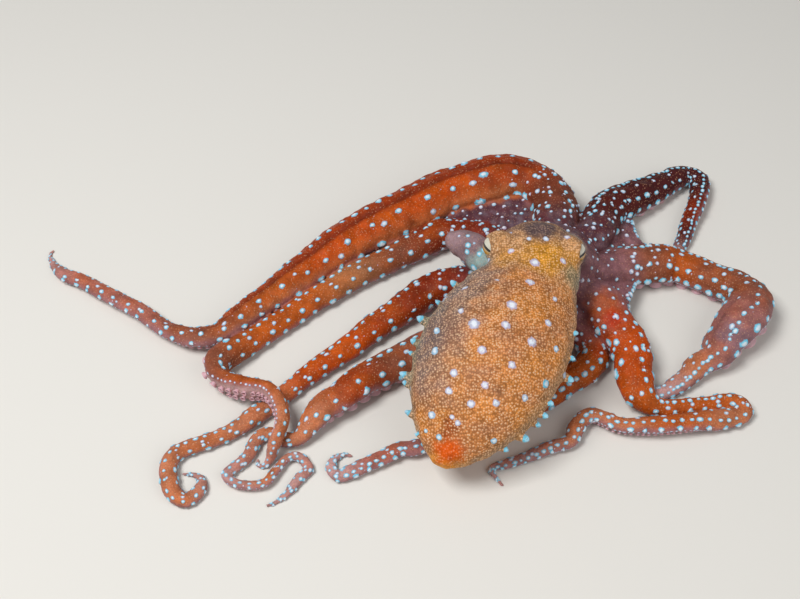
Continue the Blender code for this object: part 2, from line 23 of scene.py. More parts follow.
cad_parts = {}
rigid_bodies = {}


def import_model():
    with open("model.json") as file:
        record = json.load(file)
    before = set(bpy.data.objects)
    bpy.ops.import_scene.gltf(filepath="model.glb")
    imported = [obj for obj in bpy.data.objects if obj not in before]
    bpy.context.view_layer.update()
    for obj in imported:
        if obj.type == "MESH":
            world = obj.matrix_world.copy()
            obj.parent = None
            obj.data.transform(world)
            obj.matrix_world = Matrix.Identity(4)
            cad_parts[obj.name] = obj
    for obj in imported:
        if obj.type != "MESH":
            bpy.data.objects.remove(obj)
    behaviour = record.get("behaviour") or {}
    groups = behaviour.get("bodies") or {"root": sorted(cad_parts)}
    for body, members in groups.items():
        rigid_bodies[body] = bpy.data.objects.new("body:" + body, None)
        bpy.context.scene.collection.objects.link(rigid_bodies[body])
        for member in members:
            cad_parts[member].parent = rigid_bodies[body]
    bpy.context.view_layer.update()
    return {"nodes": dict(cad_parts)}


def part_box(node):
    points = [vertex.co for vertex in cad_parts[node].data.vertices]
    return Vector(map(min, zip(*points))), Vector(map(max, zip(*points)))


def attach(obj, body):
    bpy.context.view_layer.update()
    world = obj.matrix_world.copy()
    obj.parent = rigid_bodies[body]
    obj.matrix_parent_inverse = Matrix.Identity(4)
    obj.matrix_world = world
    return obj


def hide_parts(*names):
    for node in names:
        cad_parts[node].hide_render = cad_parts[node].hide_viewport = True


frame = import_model()
MM = 0.001

EYES = {"eye_left": np.array([-26.2, -10.8, 39.5]), "eye_right": np.array([5.4, -13.6, 39.5])}


def middle_of(node):
    """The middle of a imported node's box, in millimetres."""
    low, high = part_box(node)
    return np.array((low + high) / 2) / MM


# The crown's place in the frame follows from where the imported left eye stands
CROWN_AT = middle_of("eye_left") - EYES["eye_left"]
print("nodes in the frame:", len(frame["nodes"]), " crown at", CROWN_AT.round(2))

# %% [markdown]
# ## The camera
#
# The photograph looks down on the animal from behind. The camera comes first, because some of the
# larger spots are found later by looking through it. It hangs above and behind the crown and tips
# down by fifty degrees, with a normal lens, so near and far arms keep the sizes that they have there.

# %% Camera
CAMERA_FROM_CROWN = np.array([-63.5, -310.3, 363.9])
CAMERA_TILT = math.radians(40)
LENS = 50.0
SENSOR = 36.0
NEAREST_SEEN = 0.01

camera = bpy.data.objects.new("camera", bpy.data.cameras.new("camera"))
bpy.context.scene.collection.objects.link(camera)
camera.location = (CROWN_AT + CAMERA_FROM_CROWN) * MM
camera.rotation_euler = (CAMERA_TILT, 0, 0)
camera.data.lens = LENS
camera.data.sensor_width = SENSOR
camera.data.clip_start = NEAREST_SEEN
bpy.context.scene.camera = camera
print("camera at", [round(v, 4) for v in camera.location])

# %% [markdown]
# A pixel of the photograph stands for a line of sight, from the camera through that pixel. Turned as
# the camera is turned, it can be followed to the skin later, to find where a spot sits.

# %% Lines of sight
IMAGE_WIDTH, IMAGE_HEIGHT = 800, 599


def ray_through(x, y):
    """The camera's place and the way it looks through a pixel, from the crown, in millimetres."""
    pixels = LENS / SENSOR * IMAGE_WIDTH
    way = Vector(((x - IMAGE_WIDTH / 2) / pixels, (IMAGE_HEIGHT / 2 - y) / pixels, -1.0))
    way.rotate(camera.rotation_euler)
    return Vector(CAMERA_FROM_CROWN), way.normalized()


middle_ray = ray_through(IMAGE_WIDTH / 2, IMAGE_HEIGHT / 2)[1]
print("through the middle it looks", [round(v, 2) for v in middle_ray])

# %% [markdown]
# ## Curves and sections
#
# An octopus arm is a long muscle with no bone. It can be drawn as one middle line with a section that
# changes along it, which is how the solids are made too. The middle line is a smooth curve through a
# few points on the floor, lifted until the suckers just touch it. Numpy reads the whole line at
# once, because the skin has some hundred thousand points to look up on it later.

# %% Curves
CURVE_STEPS = 24


def smooth_curve(points):
    """A dense curve through all the points, with an even change of direction."""
    knots = np.array(points, float)
    knots = np.vstack([2 * knots[0] - knots[1], knots, 2 * knots[-1] - knots[-2]])
    t = np.arange(CURVE_STEPS)[:, None] / CURVE_STEPS
    dense = []
    for a, b, c, d in zip(knots, knots[1:], knots[2:], knots[3:]):
        bend = (2 * a - 5 * b + 4 * c - d) * t**2 + (3 * b - a - 3 * c + d) * t**3
        dense.append(0.5 * (2 * b + (c - a) * t + bend))
    dense.append(knots[-2:-1])
    return np.vstack(dense)


def lengths_along(points):
    """How far along a line each of its points lies."""
    return np.concatenate([[0.0], np.cumsum(np.linalg.norm(np.diff(points, axis=0), axis=1))])


quarter_round = smooth_curve([(10, 0, 0), (7.07, 7.07, 0), (0, 10, 0)])
print("a quarter round of 10 mm is", round(lengths_along(quarter_round)[-1], 1), "mm long")

# %% [markdown]
# Widths, rolls and paints are given as short rows of values, spread evenly from root to tip. Straight
# lines between the values would leave a kink at each one, so the change is eased instead: slow, quick,
# slow. The same easing gives every lump of relief and every patch of paint its soft edge.

# %% Soft changes
def eased(value, low, high):
    """0 below low, 1 above high and a soft change between them."""
    t = np.clip((value - low) / (high - low), 0.0, 1.0)
    return t * t * (3 - 2 * t)


def at_share(values, share):
    """Values spread evenly over 0 to 1 and read at shares, eased between entries."""
    values = np.asarray(values, float)
    place = np.clip(share, 0.0, 1.0) * (len(values) - 1)
    first = np.minimum(place.astype(int), len(values) - 2)
    part = eased(place - first, 0.0, 1.0)
    if values.ndim > 1:
        part = part[..., None]
    return values[first] * (1 - part) + values[first + 1] * part


print("a quarter of the way from 0 to 1, eased:", round(float(at_share((0, 1), np.array(0.25))), 3))

# %% [markdown]
# An arm, the spine of the body and the siphon all answer the same questions: at some distance along,
# where is the middle, which way does the line run, and which way is up? One class answers them for all.
# Up is tilted back until it stands square to the line, and across is square to both.

# %% Middle lines
LINE_STEP = 0.5


def unit(vectors):
    """The same directions, each with a length of one."""
    return vectors / np.maximum(np.linalg.norm(vectors, axis=-1, keepdims=True), 1e-9)


class Line:
    """A middle line that is read by distance, with the way along it, up from it and across it."""

    def __init__(self, points):
        along = lengths_along(points)
        self.length = along[-1]
        self.at = np.arange(0.0, self.length + LINE_STEP, LINE_STEP)
        self.point = np.stack([np.interp(self.at, along, points[:, k]) for k in range(3)], axis=1)
        self.along = unit(np.gradient(self.point, axis=0))
        up = np.array([0.0, 0.0, 1.0])
        self.up = unit(up - self.along * self.along[:, 2:])
        self.across = np.cross(self.along, self.up)

    def read(self, values, distance):
        """One of the line's rows of values, at distances along it."""
        place = np.clip(np.rint(np.asarray(distance) / LINE_STEP).astype(int), 0, len(self.at) - 1)
        return values[place]

    def rings(self, distances, sides, first=0.0):
        """Rings of points on the surface at some distances, each with the same number of sides."""
        turn = 2 * math.pi * (np.arange(sides) + first) / sides
        return self.surface(*np.broadcast_arrays(distances[:, None], turn[None]))


print("middle lines are read every", LINE_STEP, "mm")

# %% [markdown]
# ## The eight arms
#
# Each arm's route, widths and roll repeat the driving sizes of the solids. Only in the curl of the
# second left arm does the skin roll further, which turns the suckers there to us. Two things are added
# for the render: the tones that its back passes through from root to tip, and how far out the dark
# maroon of the web runs. The tones are a handful of named paints, mixed along the arm.

# %% Paints of the arms
def linear(code):
    """An sRGB hex value as linear red, green and blue."""
    parts = np.array([int(code[i:i + 2], 16) for i in (1, 3, 5)]) / 255
    return np.where(parts <= 0.04045, parts / 12.92, ((parts + 0.055) / 1.055) ** 2.4)


WEB_MAROON = "#5a3038"
DEEP_RED = "#842a0c"
BRICK = "#9c3c10"
ORANGE = "#b8480a"
RUST = "#b05218"
# Front right arm only: its own deep red-brown and maroon, darkened further as painted shade
BROWN_RED_AND_PAINTED_SHADE = "#521c18"
MAROON_AND_PAINTED_SHADE = "#4a1a1a"
DUSKY = "#8a4c34"
SALMON = "#b8704c"
ROSE = "#b88c88"
ROOT_BROWN = "#743a26"
SANDY_ROSE = "#a86c44"
PINK_BROWN = "#96605a"
OLD_ROSE = "#a86252"
print("deep red in linear light:", linear(DEEP_RED).round(3))

# %% [markdown]
# A route lists points on the floor as x, y and the height of the arm's underside above it. It could
# be drawn by hand as a Blender curve, but numbers can be measured off the photograph and mended one at
# a time. Widths, rolls in degrees and tones run evenly from root to tip, and web is a distance.

# %% Routes of the left arms
TIP = 1.2
ARMS = {
    "arm_left_1": {
        "route": [
            (-4, 7, 13), (3, 21, 9), (5.5, 36, 6), (3, 47.5, 4.5), (-2.5, 55.5, 3), (-10, 59, 2),
            (-18, 59, 1), (-25.5, 57, 0.5), (-34, 54.5, 0), (-44, 51, 0), (-54, 44.5, 0), (-64, 38, 0),
            (-74.5, 31.5, 0), (-84, 25, 0), (-93, 17.5, 0), (-102, 9, 0), (-110, 0.4, 0),
            (-117.5, -7, 0), (-125, -14, 0), (-132, -22, 0.5), (-138.5, -29, 1), (-146.5, -30.5, 1),
            (-154, -28, 0.5), (-162.5, -23, 0), (-171.5, -15.5, 0), (-181, -9.5, 0), (-190.5, -3.5, 0),
            (-199.5, 2.5, 0), (-208, 6.5, 0), (-214, 12.5, 0), (-216.5, 16.5, 0), (-218, 20.5, 0),
            (-217, 23, 0),
        ],
        "widths": (17, 19.3, 20.4, 25, 22.8, 21.8, 19.3, 15.8, 12.6, 10.7, 8.3, 7.9, 6.8, TIP),
        "rolls": (0, 0, 0, 0, 0, 0, 10, 20, 20, 10, 0),
        "web": 46,
        "tones": (WEB_MAROON, ROOT_BROWN, BRICK, ORANGE, ORANGE, ORANGE, RUST, DUSKY, OLD_ROSE,
                  OLD_ROSE, ROSE),
    },
    "arm_left_2": {
        "route": [
            (-12, 5, 11), (-20, 16, 6), (-28, 25, 3), (-44, 28, 1), (-49, 25.5, 0), (-58, 20, 0),
            (-66.5, 14.5, 0), (-75.5, 9, 0), (-84.5, 3, 0), (-93, -4, 0), (-101.5, -10.5, 0),
            (-109, -17.5, 0), (-117, -24.5, 0), (-125.5, -32.5, 0), (-132, -38.5, 0), (-136.5, -43, 0),
            (-136.5, -49, 0), (-131.5, -54, 1), (-124, -58, 3.5), (-115.5, -60.5, 6),
            (-110.5, -66.5, 7), (-108.5, -73, 7), (-109.5, -78.5, 6), (-111.5, -82.5, 3.5),
            (-112.5, -85.5, 1), (-114.5, -88, 0), (-117.5, -87.5, 0), (-117.5, -85, 0),
        ],
        "widths": (14, 13.4, 13.9, 13.2, 11.9, 11.4, 10.3, 9.6, 9.8, 12.6, 11, 9.2, 5.9, TIP),
        "rolls": (0, 0, 0, 0, 0, 0, -5, -60, -88, -70, -20),
        "web": 36,
        "tones": (WEB_MAROON, DEEP_RED, DEEP_RED, DUSKY, SANDY_ROSE, RUST, RUST, DUSKY, RUST,
                  SALMON, ROSE),
    },
    "arm_left_3": {
        "route": [
            (-14, -2, 9), (-28, -1, 4), (-49, -4, 0.5), (-60, -12.5, 0), (-68, -19, 0),
            (-75.5, -25, 0), (-84, -33.5, 0), (-92, -40, 0), (-100, -47, 0), (-106.5, -53.5, 0),
            (-114, -61, 0), (-121, -67.5, 0), (-128, -73.5, 0), (-135.5, -77.5, 0), (-141.5, -80, 0),
            (-147.5, -83, 0), (-150.5, -87.5, 0), (-150, -94.5, 0), (-147.5, -100.5, 0),
            (-142.5, -103.5, 0), (-138, -99, 0), (-138, -94.5, 0), (-141, -92, 0.2),
            (-145.5, -91.5, 0.4),
        ],
        "widths": (15, 15, 15.7, 14.6, 12.5, 11.1, 9.7, 8.2, 8.2, 6.2, 6.2, 6.8, 5.5, TIP),
        "rolls": (0, 0, 0, 0, 0, 0, 0, -15, -20, 0, 0),
        "web": 30,
        "tones": (WEB_MAROON, DEEP_RED, DEEP_RED, BRICK, ORANGE, ORANGE, SALMON, SALMON, SALMON,
                  SALMON, ROSE),
    },
    "arm_left_4": {
        "route": [
            (-10, -10, 7), (-24, -21, 3), (-44, -31.5, 2), (-62, -42, 1), (-70.5, -47, 0),
            (-78, -52.5, 0), (-85, -59, 0), (-92.5, -64.5, 0), (-97.5, -70.5, 0), (-102, -77, 0),
            (-108, -77.5, 0),
            (-112, -75, 0), (-116, -74.5, 0), (-119, -78, 0), (-121.5, -85, 0), (-127, -90.5, 0),
            (-128.5, -93.5, 0), (-125, -96.5, 0), (-119.5, -97.5, 0), (-114, -96.5, 0),
            (-110.5, -91.5, 0), (-106.5, -85.5, 0), (-102, -84.5, 0), (-98, -89.5, 0),
            (-101.5, -94, 0), (-105, -99.5, 0), (-109.5, -103.5, 0), (-113, -105, 0),
        ],
        "widths": (14, 14, 14.6, 15.3, 14.8, 14.8, 12.8, 6.9, 5.4, 4.3, 4.4, 3.9, 4.1, TIP),
        "rolls": (0, 0, 0, 0, 20, 20, 0, -35, -35, 0, 0),
        "web": 28,
        "tones": (WEB_MAROON, DEEP_RED, PINK_BROWN, DUSKY, BRICK, SALMON, SALMON, ROSE, SALMON,
                  ROSE, ROSE),
    },
}
print("left arms:", len(ARMS))

# %% [markdown]
# The right arms are listed in the same way. The third one is lifted by 4 mm where the tip of the second
# slips under it, and the fourth runs on under the mantle and comes out on its far side.

# %% Routes of the right arms
ARMS.update({
    "arm_right_4": {
        "route": [
            (2, -15, 6), (9.5, -24, 2.5), (14, -31.5, 0.5), (15.5, -37.5, 0), (13, -43, 0),
            (7.5, -48, 0), (1, -52.5, 0), (-6, -58.5, 0), (-22, -67.5, 0), (-55.5, -81, 0),
            (-63, -82, 0), (-71, -86, 0), (-79, -90, 0), (-86, -93, 0), (-89.5, -89.5, 0),
            (-88.5, -85.5, 0), (-85, -83, 0), (-81.5, -83.5, 0),
        ],
        "widths": (13, 13, 12.5, 12.3, 11.5, 9.8, 9.1, 8.4, 7.7, 7.1, 6.6, 6.1, 4.3, TIP),
        "rolls": (0, 0, 0, 0, 0, 10, 20, 20, 10, 0, 0),
        "web": 26,
        "tones": (WEB_MAROON, BRICK, RUST, RUST, RUST, SALMON, BRICK, PINK_BROWN, OLD_ROSE, ROSE, ROSE),
    },
    "arm_right_3": {
        "route": [
            (10, -11, 10), (20, -19, 8), (22, -25.5, 6), (27.5, -34.5, 4.5), (29, -43, 4),
            (28.5, -51, 4), (29.5, -57.5, 2.5), (33.5, -62, 0.8), (41, -63.5, 0), (50, -62, 0),
            (59, -60.8, 0), (66, -60, 0), (70.5, -62.3, 0), (69, -66.6, 0), (61, -68.6, 0),
            (52.5, -70, 0), (42.5, -71.8, 0), (29, -72.5, 0), (20.5, -71.5, 0), (15.5, -68.5, 0),
            (10, -67, 0), (5, -72, 0), (1.4, -78.5, 0), (-5.5, -80.5, 0), (-15, -84.5, 0),
            (-23, -87.5, 0), (-29, -89.5, 0), (-25, -96.5, 0),
        ],
        "widths": (15, 17.4, 16.3, 14.3, 7.4, 6.2, 7.4, 9.6, 9.2, 7.6, 7.1, 5.4, 4, TIP),
        "rolls": (0, 0, 0, 20, 20, 0, 30, 30, 20, 0, 0),
        "web": 36,
        "tones": (PINK_BROWN, ORANGE, ORANGE, RUST, RUST, SALMON, RUST, SALMON, SALMON, ROSE, ROSE),
    },
    "arm_right_2": {
        "route": [
            (13, -2, 11), (25, 2, 6), (34, 6, 2.5), (44, 8, 1), (53, 9.5, 0), (62, 6, 0),
            (70.5, 1, 0), (78, -4.5, 0), (81.5, -12, 0), (79.5, -20, 0), (74, -27, 0),
            (68.5, -33, 0), (64, -39.5, 0), (57, -43, 0), (51.5, -48.5, 0), (45, -53, 0), (39, -56, 0),
            (35.5, -53, 0), (32, -50.5, 0), (29.5, -48, 0),
        ],
        "widths": (15, 15.9, 18.6, 19.3, 16.6, 15.8, 16.4, 20, 20, 15.5, 10.8, 8, 6.1, TIP),
        "rolls": (0, 0, 0, 0, 0, 15, 25, 20, 10, 0, 0),
        "web": 37,
        "tones": (PINK_BROWN, PINK_BROWN, DUSKY, RUST, DUSKY, DUSKY, PINK_BROWN, PINK_BROWN, SALMON,
                  ROSE, ROSE),
    },
    "arm_right_1": {
        "route": [
            (9, 8, 12), (21, 21, 8), (28.5, 38, 4), (40, 48, 1), (51, 55.5, 0), (60.5, 62, 0),
            (69.5, 67, 0), (75, 64, 0), (74.5, 56.5, 0), (71, 47, 0), (66.5, 37.5, 0), (62, 26.5, 0),
            (59.5, 23, 0), (56, 21, 0), (52.5, 21.5, 0),
        ],
        "widths": (15, 15.6, 16.4, 17.5, 18, 17.3, 14.9, 12.2, 8.9, 8.8, 8.3, 7.4, 6.3, TIP),
        "rolls": (0, 0, 0, 0, 0, 0, 15, 25, 25, 10, 0),
        "web": 38,
        # Its dark tones are partly the arm's own maroon and partly painted shade
        "tones": (WEB_MAROON, BROWN_RED_AND_PAINTED_SHADE, BROWN_RED_AND_PAINTED_SHADE, BROWN_RED_AND_PAINTED_SHADE, MAROON_AND_PAINTED_SHADE, MAROON_AND_PAINTED_SHADE, MAROON_AND_PAINTED_SHADE,
                  MAROON_AND_PAINTED_SHADE, DEEP_RED, BROWN_RED_AND_PAINTED_SHADE, ROSE),
    },
})
print("arms in all:", len(ARMS))

# %% [markdown]
# An arm's section is a flattened oval with a high back and a lower sole. The lowest thing on it is
# either the flesh or the rim of a sucker, and which one depends on how far the arm has rolled over. So
# each middle line is lifted by the larger of the two, and every arm just rests on the floor.

# %% Arms
# Height of the back, depth of the sole, and how far a sucker stands out, sits aside and opens, all
# as shares of the arm's width
ARM_BACK = 0.42
ARM_SOLE = 0.26
SUCKER_RISE = 0.08
SUCKER_OFFSET = 0.23
SUCKER_RIM = 0.19


class Arm(Line):
    """One arm: its middle line, its width there and the way its back faces."""

    def __init__(self, name, shape):
        self.name = name
        self.shape = shape
        floor = smooth_curve(shape["route"])
        share = lengths_along(floor) / lengths_along(floor)[-1]
        lifted = floor.copy()
        lifted[:, 2] = np.maximum(floor[:, 2], 0.0) + self.support(share)
        super().__init__(lifted)
        self.share = self.at / self.length
        self.width = at_share(shape["widths"], self.share)
        roll = np.radians(at_share(shape["rolls"], self.share))[:, None]
        self.up = self.up * np.cos(roll) + self.across * np.sin(roll)
        self.across = np.cross(self.along, self.up)

    def support(self, share):
        """How high the middle line stands over the lowest point of the section, suckers included."""
        roll = np.radians(at_share(self.shape["rolls"], share))
        down, across = np.cos(roll), np.abs(np.sin(roll))
        flesh = np.hypot(ARM_SOLE * down, 0.5 * across)
        rim = (ARM_SOLE + SUCKER_RISE) * down + (SUCKER_OFFSET + SUCKER_RIM) * across
        return at_share(self.shape["widths"], share) * np.maximum(flesh, rim)

    def surface(self, distance, turn):
        """Points on the skin at distances along the arm and turns round it, in radians."""
        height = np.where(np.sin(turn) > 0, ARM_BACK, ARM_SOLE)
        width = self.read(self.width, distance)
        over = self.read(self.across, distance) * (0.5 * width * np.cos(turn))[..., None]
        over = over + self.read(self.up, distance) * (height * width * np.sin(turn))[..., None]
        return self.read(self.point, distance) + over


arms = {name: Arm(name, shape) for name, shape in ARMS.items()}
for arm in arms.values():
    print(arm.name, "is", round(arm.length), "mm long")

# %% [markdown]
# ## Head and mantle
#
# The mantle is the bag behind the head. Head and mantle are one soft body, so they are drawn as one
# lofted form along a spine, from the brow over the eyes and the neck to the mantle's tip. Two balls
# could be joined instead, but this animal's neck is a long, even waist.

# %% Head and mantle
SPINE = [(-5.8, 3, 34.5), (-9, -14, 35.5), (-13.2, -27, 34.5), (-31, -62, 30), (-49, -98, 17.5)]
# Share of the spine, half width, height of the back, depth of the belly
BODY = [
    (0.0, 6.0, 4.0, 4.0), (0.02, 11.0, 7.0, 7.5), (0.06, 15.0, 9.5, 10.0), (0.13, 17.0, 10.8, 11.0),
    (0.20, 17.8, 11.4, 10.5), (0.27, 19.2, 12.2, 10.0), (0.35, 23.2, 14.5, 10.5),
    (0.46, 26.6, 17.5, 12.0), (0.58, 28.0, 18.5, 13.0), (0.70, 26.6, 17.2, 12.5),
    (0.81, 22.3, 14.2, 11.0), (0.90, 15.8, 10.0, 8.5), (0.96, 9.6, 6.2, 5.5), (1.0, 3.0, 2.4, 2.2),
]
NECK_AT = 0.27


class Body(Line):
    """The spine of head and mantle with the half width, back and belly along it."""

    def __init__(self):
        super().__init__(smooth_curve(SPINE))
        share = self.at / self.length
        rows = np.array(BODY)
        self.half, self.back, self.belly = (np.interp(share, rows[:, 0], rows[:, k]) for k in (1, 2, 3))

    def surface(self, distance, turn):
        """Points on the skin at distances along the spine and turns round it, in radians."""
        back, belly = (self.read(v, distance) for v in (self.back, self.belly))
        height = np.where(np.sin(turn) > 0, back, belly)
        half = self.read(self.half, distance)
        over = self.read(self.across, distance) * (half * np.cos(turn))[..., None]
        above = self.read(self.up, distance) * (height * np.sin(turn))[..., None]
        return self.read(self.point, distance) + over + above


body = Body()
EYE_OUT = {"eye_right": unit(EYES["eye_right"] - EYES["eye_left"])}
EYE_OUT["eye_left"] = -EYE_OUT["eye_right"]
print("spine", round(body.length, 1), "mm, mantle", round(body.length * (1 - NECK_AT), 1), "mm")

# %% [markdown]
# ## One skin
#
# Real skin runs over everything without a seam. Joining the pieces by a Boolean would leave creases
# where an arm leaves the web. Instead all pieces are dropped into one mesh and remeshed by voxels:
# Blender fills the shape with half-millimetre cubes and draws one new surface round them, with
# even small faces that can later carry relief and paint. A little smoothing rounds the joins.

# %% Closed shapes
class Pieces:
    """Closed shapes gathered into one mesh."""

    def __init__(self):
        self.points, self.faces = [], []
        self.count = 0

    def add(self, points, faces):
        self.points.append(points)
        self.faces.extend([tuple(self.count + i for i in face) for face in faces])
        self.count += len(points)

    def loft(self, rings):
        """rings is an array of ring, side, xyz; the ends are closed flat."""
        count, sides = rings.shape[:2]
        faces = []
        for r in range(count - 1):
            for i in range(sides):
                j = (i + 1) % sides
                faces.append((r * sides + i, r * sides + j, (r + 1) * sides + j, (r + 1) * sides + i))
        faces.append(tuple(range(sides - 1, -1, -1)))
        faces.append(tuple(range((count - 1) * sides, count * sides)))
        self.add(rings.reshape(-1, 3), faces)

    def ball(self, middle, radii, segments=48, rows=24):
        lift = np.linspace(-1, 1, rows + 1)[1:-1] * (math.pi / 2) * (1 - 1 / (2 * rows))
        turn = np.arange(segments) * 2 * math.pi / segments
        ring = np.stack([np.cos(turn), np.sin(turn), np.zeros(segments)], axis=1)
        rings = [ring * [math.cos(a), math.cos(a), 0] + [0, 0, math.sin(a)] for a in lift]
        self.loft(middle + np.array(rings) * radii)


pieces = Pieces()
print("points in the pieces of the skin so far:", pieces.count)

# %% [markdown]
# The arms go in first. Living arms that lie side by side press each other flat, where two stiff tubes
# would only touch along a line. So over one stretch the two front left arms widen towards each other.
# Where arms cross or fold back on themselves they draw in a little, which leaves a crease.

# %% Arms in the skin
ARM_SIDES = 36
ARM_STEP = 0.8
# Arm, distance along it, share of the width that is taken, length of the stretch
PINCHES = [
    ("arm_left_1", 220, 0.03, 12), ("arm_left_2", 152, 0.03, 12),
    ("arm_right_3", 75, 0.06, 14), ("arm_right_3", 125, 0.06, 14),
]
# Arm, start and end of the stretch, how far its middle line moves over; its outer edge stays
PRESSED = [("arm_left_1", 114, 214, -0.5), ("arm_left_2", 52, 146, 0.5)]
PRESS_COMES, PRESS_GOES = 20, 8


def press(arm, start, end, over):
    """Moves the inner edge of an arm across by twice a length and leaves the outer edge."""
    share = eased(arm.at, start - PRESS_COMES, start) * (1 - eased(arm.at, end, end + PRESS_GOES))
    arm.width = arm.width + 2 * abs(over) * share
    arm.point = arm.point + arm.across * (over * share)[:, None]


def pinch(arm, distance, taken, reach):
    """Draws an arm in round one place."""
    arm.width = arm.width * (1 - taken * np.exp(-(((arm.at - distance) / reach) ** 2)))


for name, *stretch in PRESSED:
    press(arms[name], *stretch)
for name, *place in PINCHES:
    pinch(arms[name], *place)
for arm in arms.values():
    stations = np.append(np.arange(0.0, arm.length - 0.5 * ARM_STEP, ARM_STEP), arm.length)
    pieces.loft(arm.rings(stations, ARM_SIDES, 0.5))
print("points with the arms:", pieces.count)

# %% [markdown]
# The arm roots meet in the crown, a flat ball of muscle. From it a web of thin skin hangs between
# neighbouring arms, like the skin between fingers. One disc would not do, as each arm leaves at its own
# height, so a sheet is spanned between each two middle lines, and its free edge is hollowed.

# %% Crown and web
CROWN_RADII = np.array([19.0, 19.0, 12.0])
CROWN_HEIGHT = 19.0
RING = [
    "arm_left_1", "arm_right_1", "arm_right_2", "arm_right_3",
    "arm_right_4", "arm_left_4", "arm_left_3", "arm_left_2",
]
WEB_ROWS, WEB_COLUMNS = 10, 24
WEB_THICKNESS = 1.8
# Share of its reach where a sheet starts, depth of the hollow edge, and how far short of the arms'
# own web lengths it ends
WEB_START = 0.12
WEB_SCALLOP = 0.2
WEB_SHORT = 1.5
# Where the web hangs further out, how far it follows the one arm and the other
WEB_FAR = {("arm_left_2", "arm_left_1"): (56, 106), ("arm_right_1", "arm_right_2"): (58, 44)}


def web_sheet(first, second):
    """The skin between two neighbouring arms, hung from their middle lines, with a scalloped edge."""
    across = np.linspace(0, 1, WEB_COLUMNS + 1)
    drawn_in = 1.0 - WEB_SCALLOP * np.sin(math.pi * across)
    reach = [arm.shape["web"] - WEB_SHORT for arm in (first, second)]
    far_left, far_right = WEB_FAR.get((first.name, second.name), reach)
    sheet = []
    for r in range(WEB_ROWS + 1):
        share = (WEB_START + (1 - WEB_START) * r / WEB_ROWS) * drawn_in
        left = first.read(first.point, share * far_left)
        right = second.read(second.point, share * far_right)
        sheet.append(left * (1 - across[:, None]) + right * across[:, None])
    return np.array(sheet)


pieces.ball(np.array([0, 0, CROWN_HEIGHT]), CROWN_RADII)
half_web = np.array([0, 0, WEB_THICKNESS / 2])
web_sheets = [web_sheet(arms[name], arms[beside]) for name, beside in zip(RING, RING[1:] + RING[:1])]
for sheet in web_sheets:
    pieces.loft(np.concatenate([sheet - half_web, (sheet + half_web)[::-1]]).transpose(1, 0, 2))
print("points with crown and web:", pieces.count)

# %% [markdown]
# The body is lofted as the arms are. The brow bulges over each eye, so a ball goes in there too, set a
# little inwards. The voxels will melt it into the head.

# %% Head and mantle in the skin
BODY_SIDES = 72
BODY_STEP = 1.0
BROW_RADII = np.array([6.6, 7.4, 6.0])
BROW_INSET = 2.6

stations = np.append(np.arange(0.0, body.length - 0.3 * BODY_STEP, BODY_STEP), body.length)
pieces.loft(body.rings(stations, BODY_SIDES, 0.5))
for name, middle in EYES.items():
    pieces.ball(middle - EYE_OUT[name] * BROW_INSET, BROW_RADII)
print("points with head and mantle:", pieces.count)

# %% [markdown]
# The siphon is the short tube beside the left eye that the animal breathes out and jets through. Its
# end is really open: the loft goes out along the tube, round the lip and back down inside. A dark disc
# on a closed end would be quicker, but from the side it looks painted on.

# %% Siphon in the skin
SIPHON = [(-20, -16.5, 26.7), (-27.4, -8, 27), (-33.4, -0.8, 27), (-38.4, 3.5, 26.5), (-43.2, 6.5, 26)]
SIPHON_WIDTHS = (12.0, 13.0, 14.0, 14.0, 12.0, 7.0)
SIPHON_STEP = 0.8
SIPHON_SIDES = 40
# Round the lip and down inside: how far back from the end, how far in from the lip
SIPHON_INSIDE = [(0.0, 0.4), (0.3, 0.8), (2.0, 0.8), (7.0, 1.2)]
SIPHON_BOTTOM, BOTTOM_RADIUS = 7.5, 0.6

siphon_line = Line(smooth_curve(SIPHON))


def siphon_rings(sides):
    """Out along the tube, round its lip and back down inside."""
    end = siphon_line.length
    rings = [(d, at_share(SIPHON_WIDTHS, d / end) / 2) for d in np.arange(0.0, end, SIPHON_STEP)]
    lip = rings[-1][1]
    rings += [(end - back, lip - inwards) for back, inwards in SIPHON_INSIDE]
    rings.append((end - SIPHON_BOTTOM, BOTTOM_RADIUS))
    turn = 2 * math.pi * np.arange(sides)[:, None] / sides
    ways = (siphon_line.point, siphon_line.up, siphon_line.across)
    points = []
    for distance, radius in rings:
        point, up, across = (siphon_line.read(v, distance) for v in ways)
        points.append(point + radius * (np.cos(turn) * across + np.sin(turn) * up))
    return np.array(points)


pieces.loft(siphon_rings(SIPHON_SIDES))
print("points with the siphon:", pieces.count)

# %% [markdown]
# Papillae and spots of the body are placed by a share of the spine and a turn round it. The section is
# flat, so the way out of the skin isn't the way from the middle: each part of it is divided by the
# radius there. Every white spot of the animal is noted down in one list as it is placed.

# %% Places on the body
def on_body(share, turn_degrees):
    """Foot, way out and way along at a place on the head or mantle."""
    distance, turn = np.array(share * body.length), np.array(math.radians(turn_degrees))
    half, across, up = (body.read(v, distance) for v in (body.half, body.across, body.up))
    height = body.read(body.back if math.sin(turn) > 0 else body.belly, distance)
    out = unit(across * (math.cos(turn) / half) + up * (math.sin(turn) / height))
    return body.surface(distance, turn), out, body.read(body.along, distance)


spots = []


def add_spot(place, radius, height, warmth, way, stretch=1.0):
    """One white spot: where it sits, its size, how far it stands out, how warm its white is."""
    spots.append((place, radius, height, warmth, way, stretch))


print("the top of the mantle is at", on_body(0.6, 90)[0].round(1))

# %% [markdown]
# The soft points on the mantle's flanks, its papillae, stand out too far to be pushed up from the skin
# later, as the faces on their sides would stretch. They go in before the remesh, each flattened like a
# leaf and blunt at its end, with a white spot on its tip.

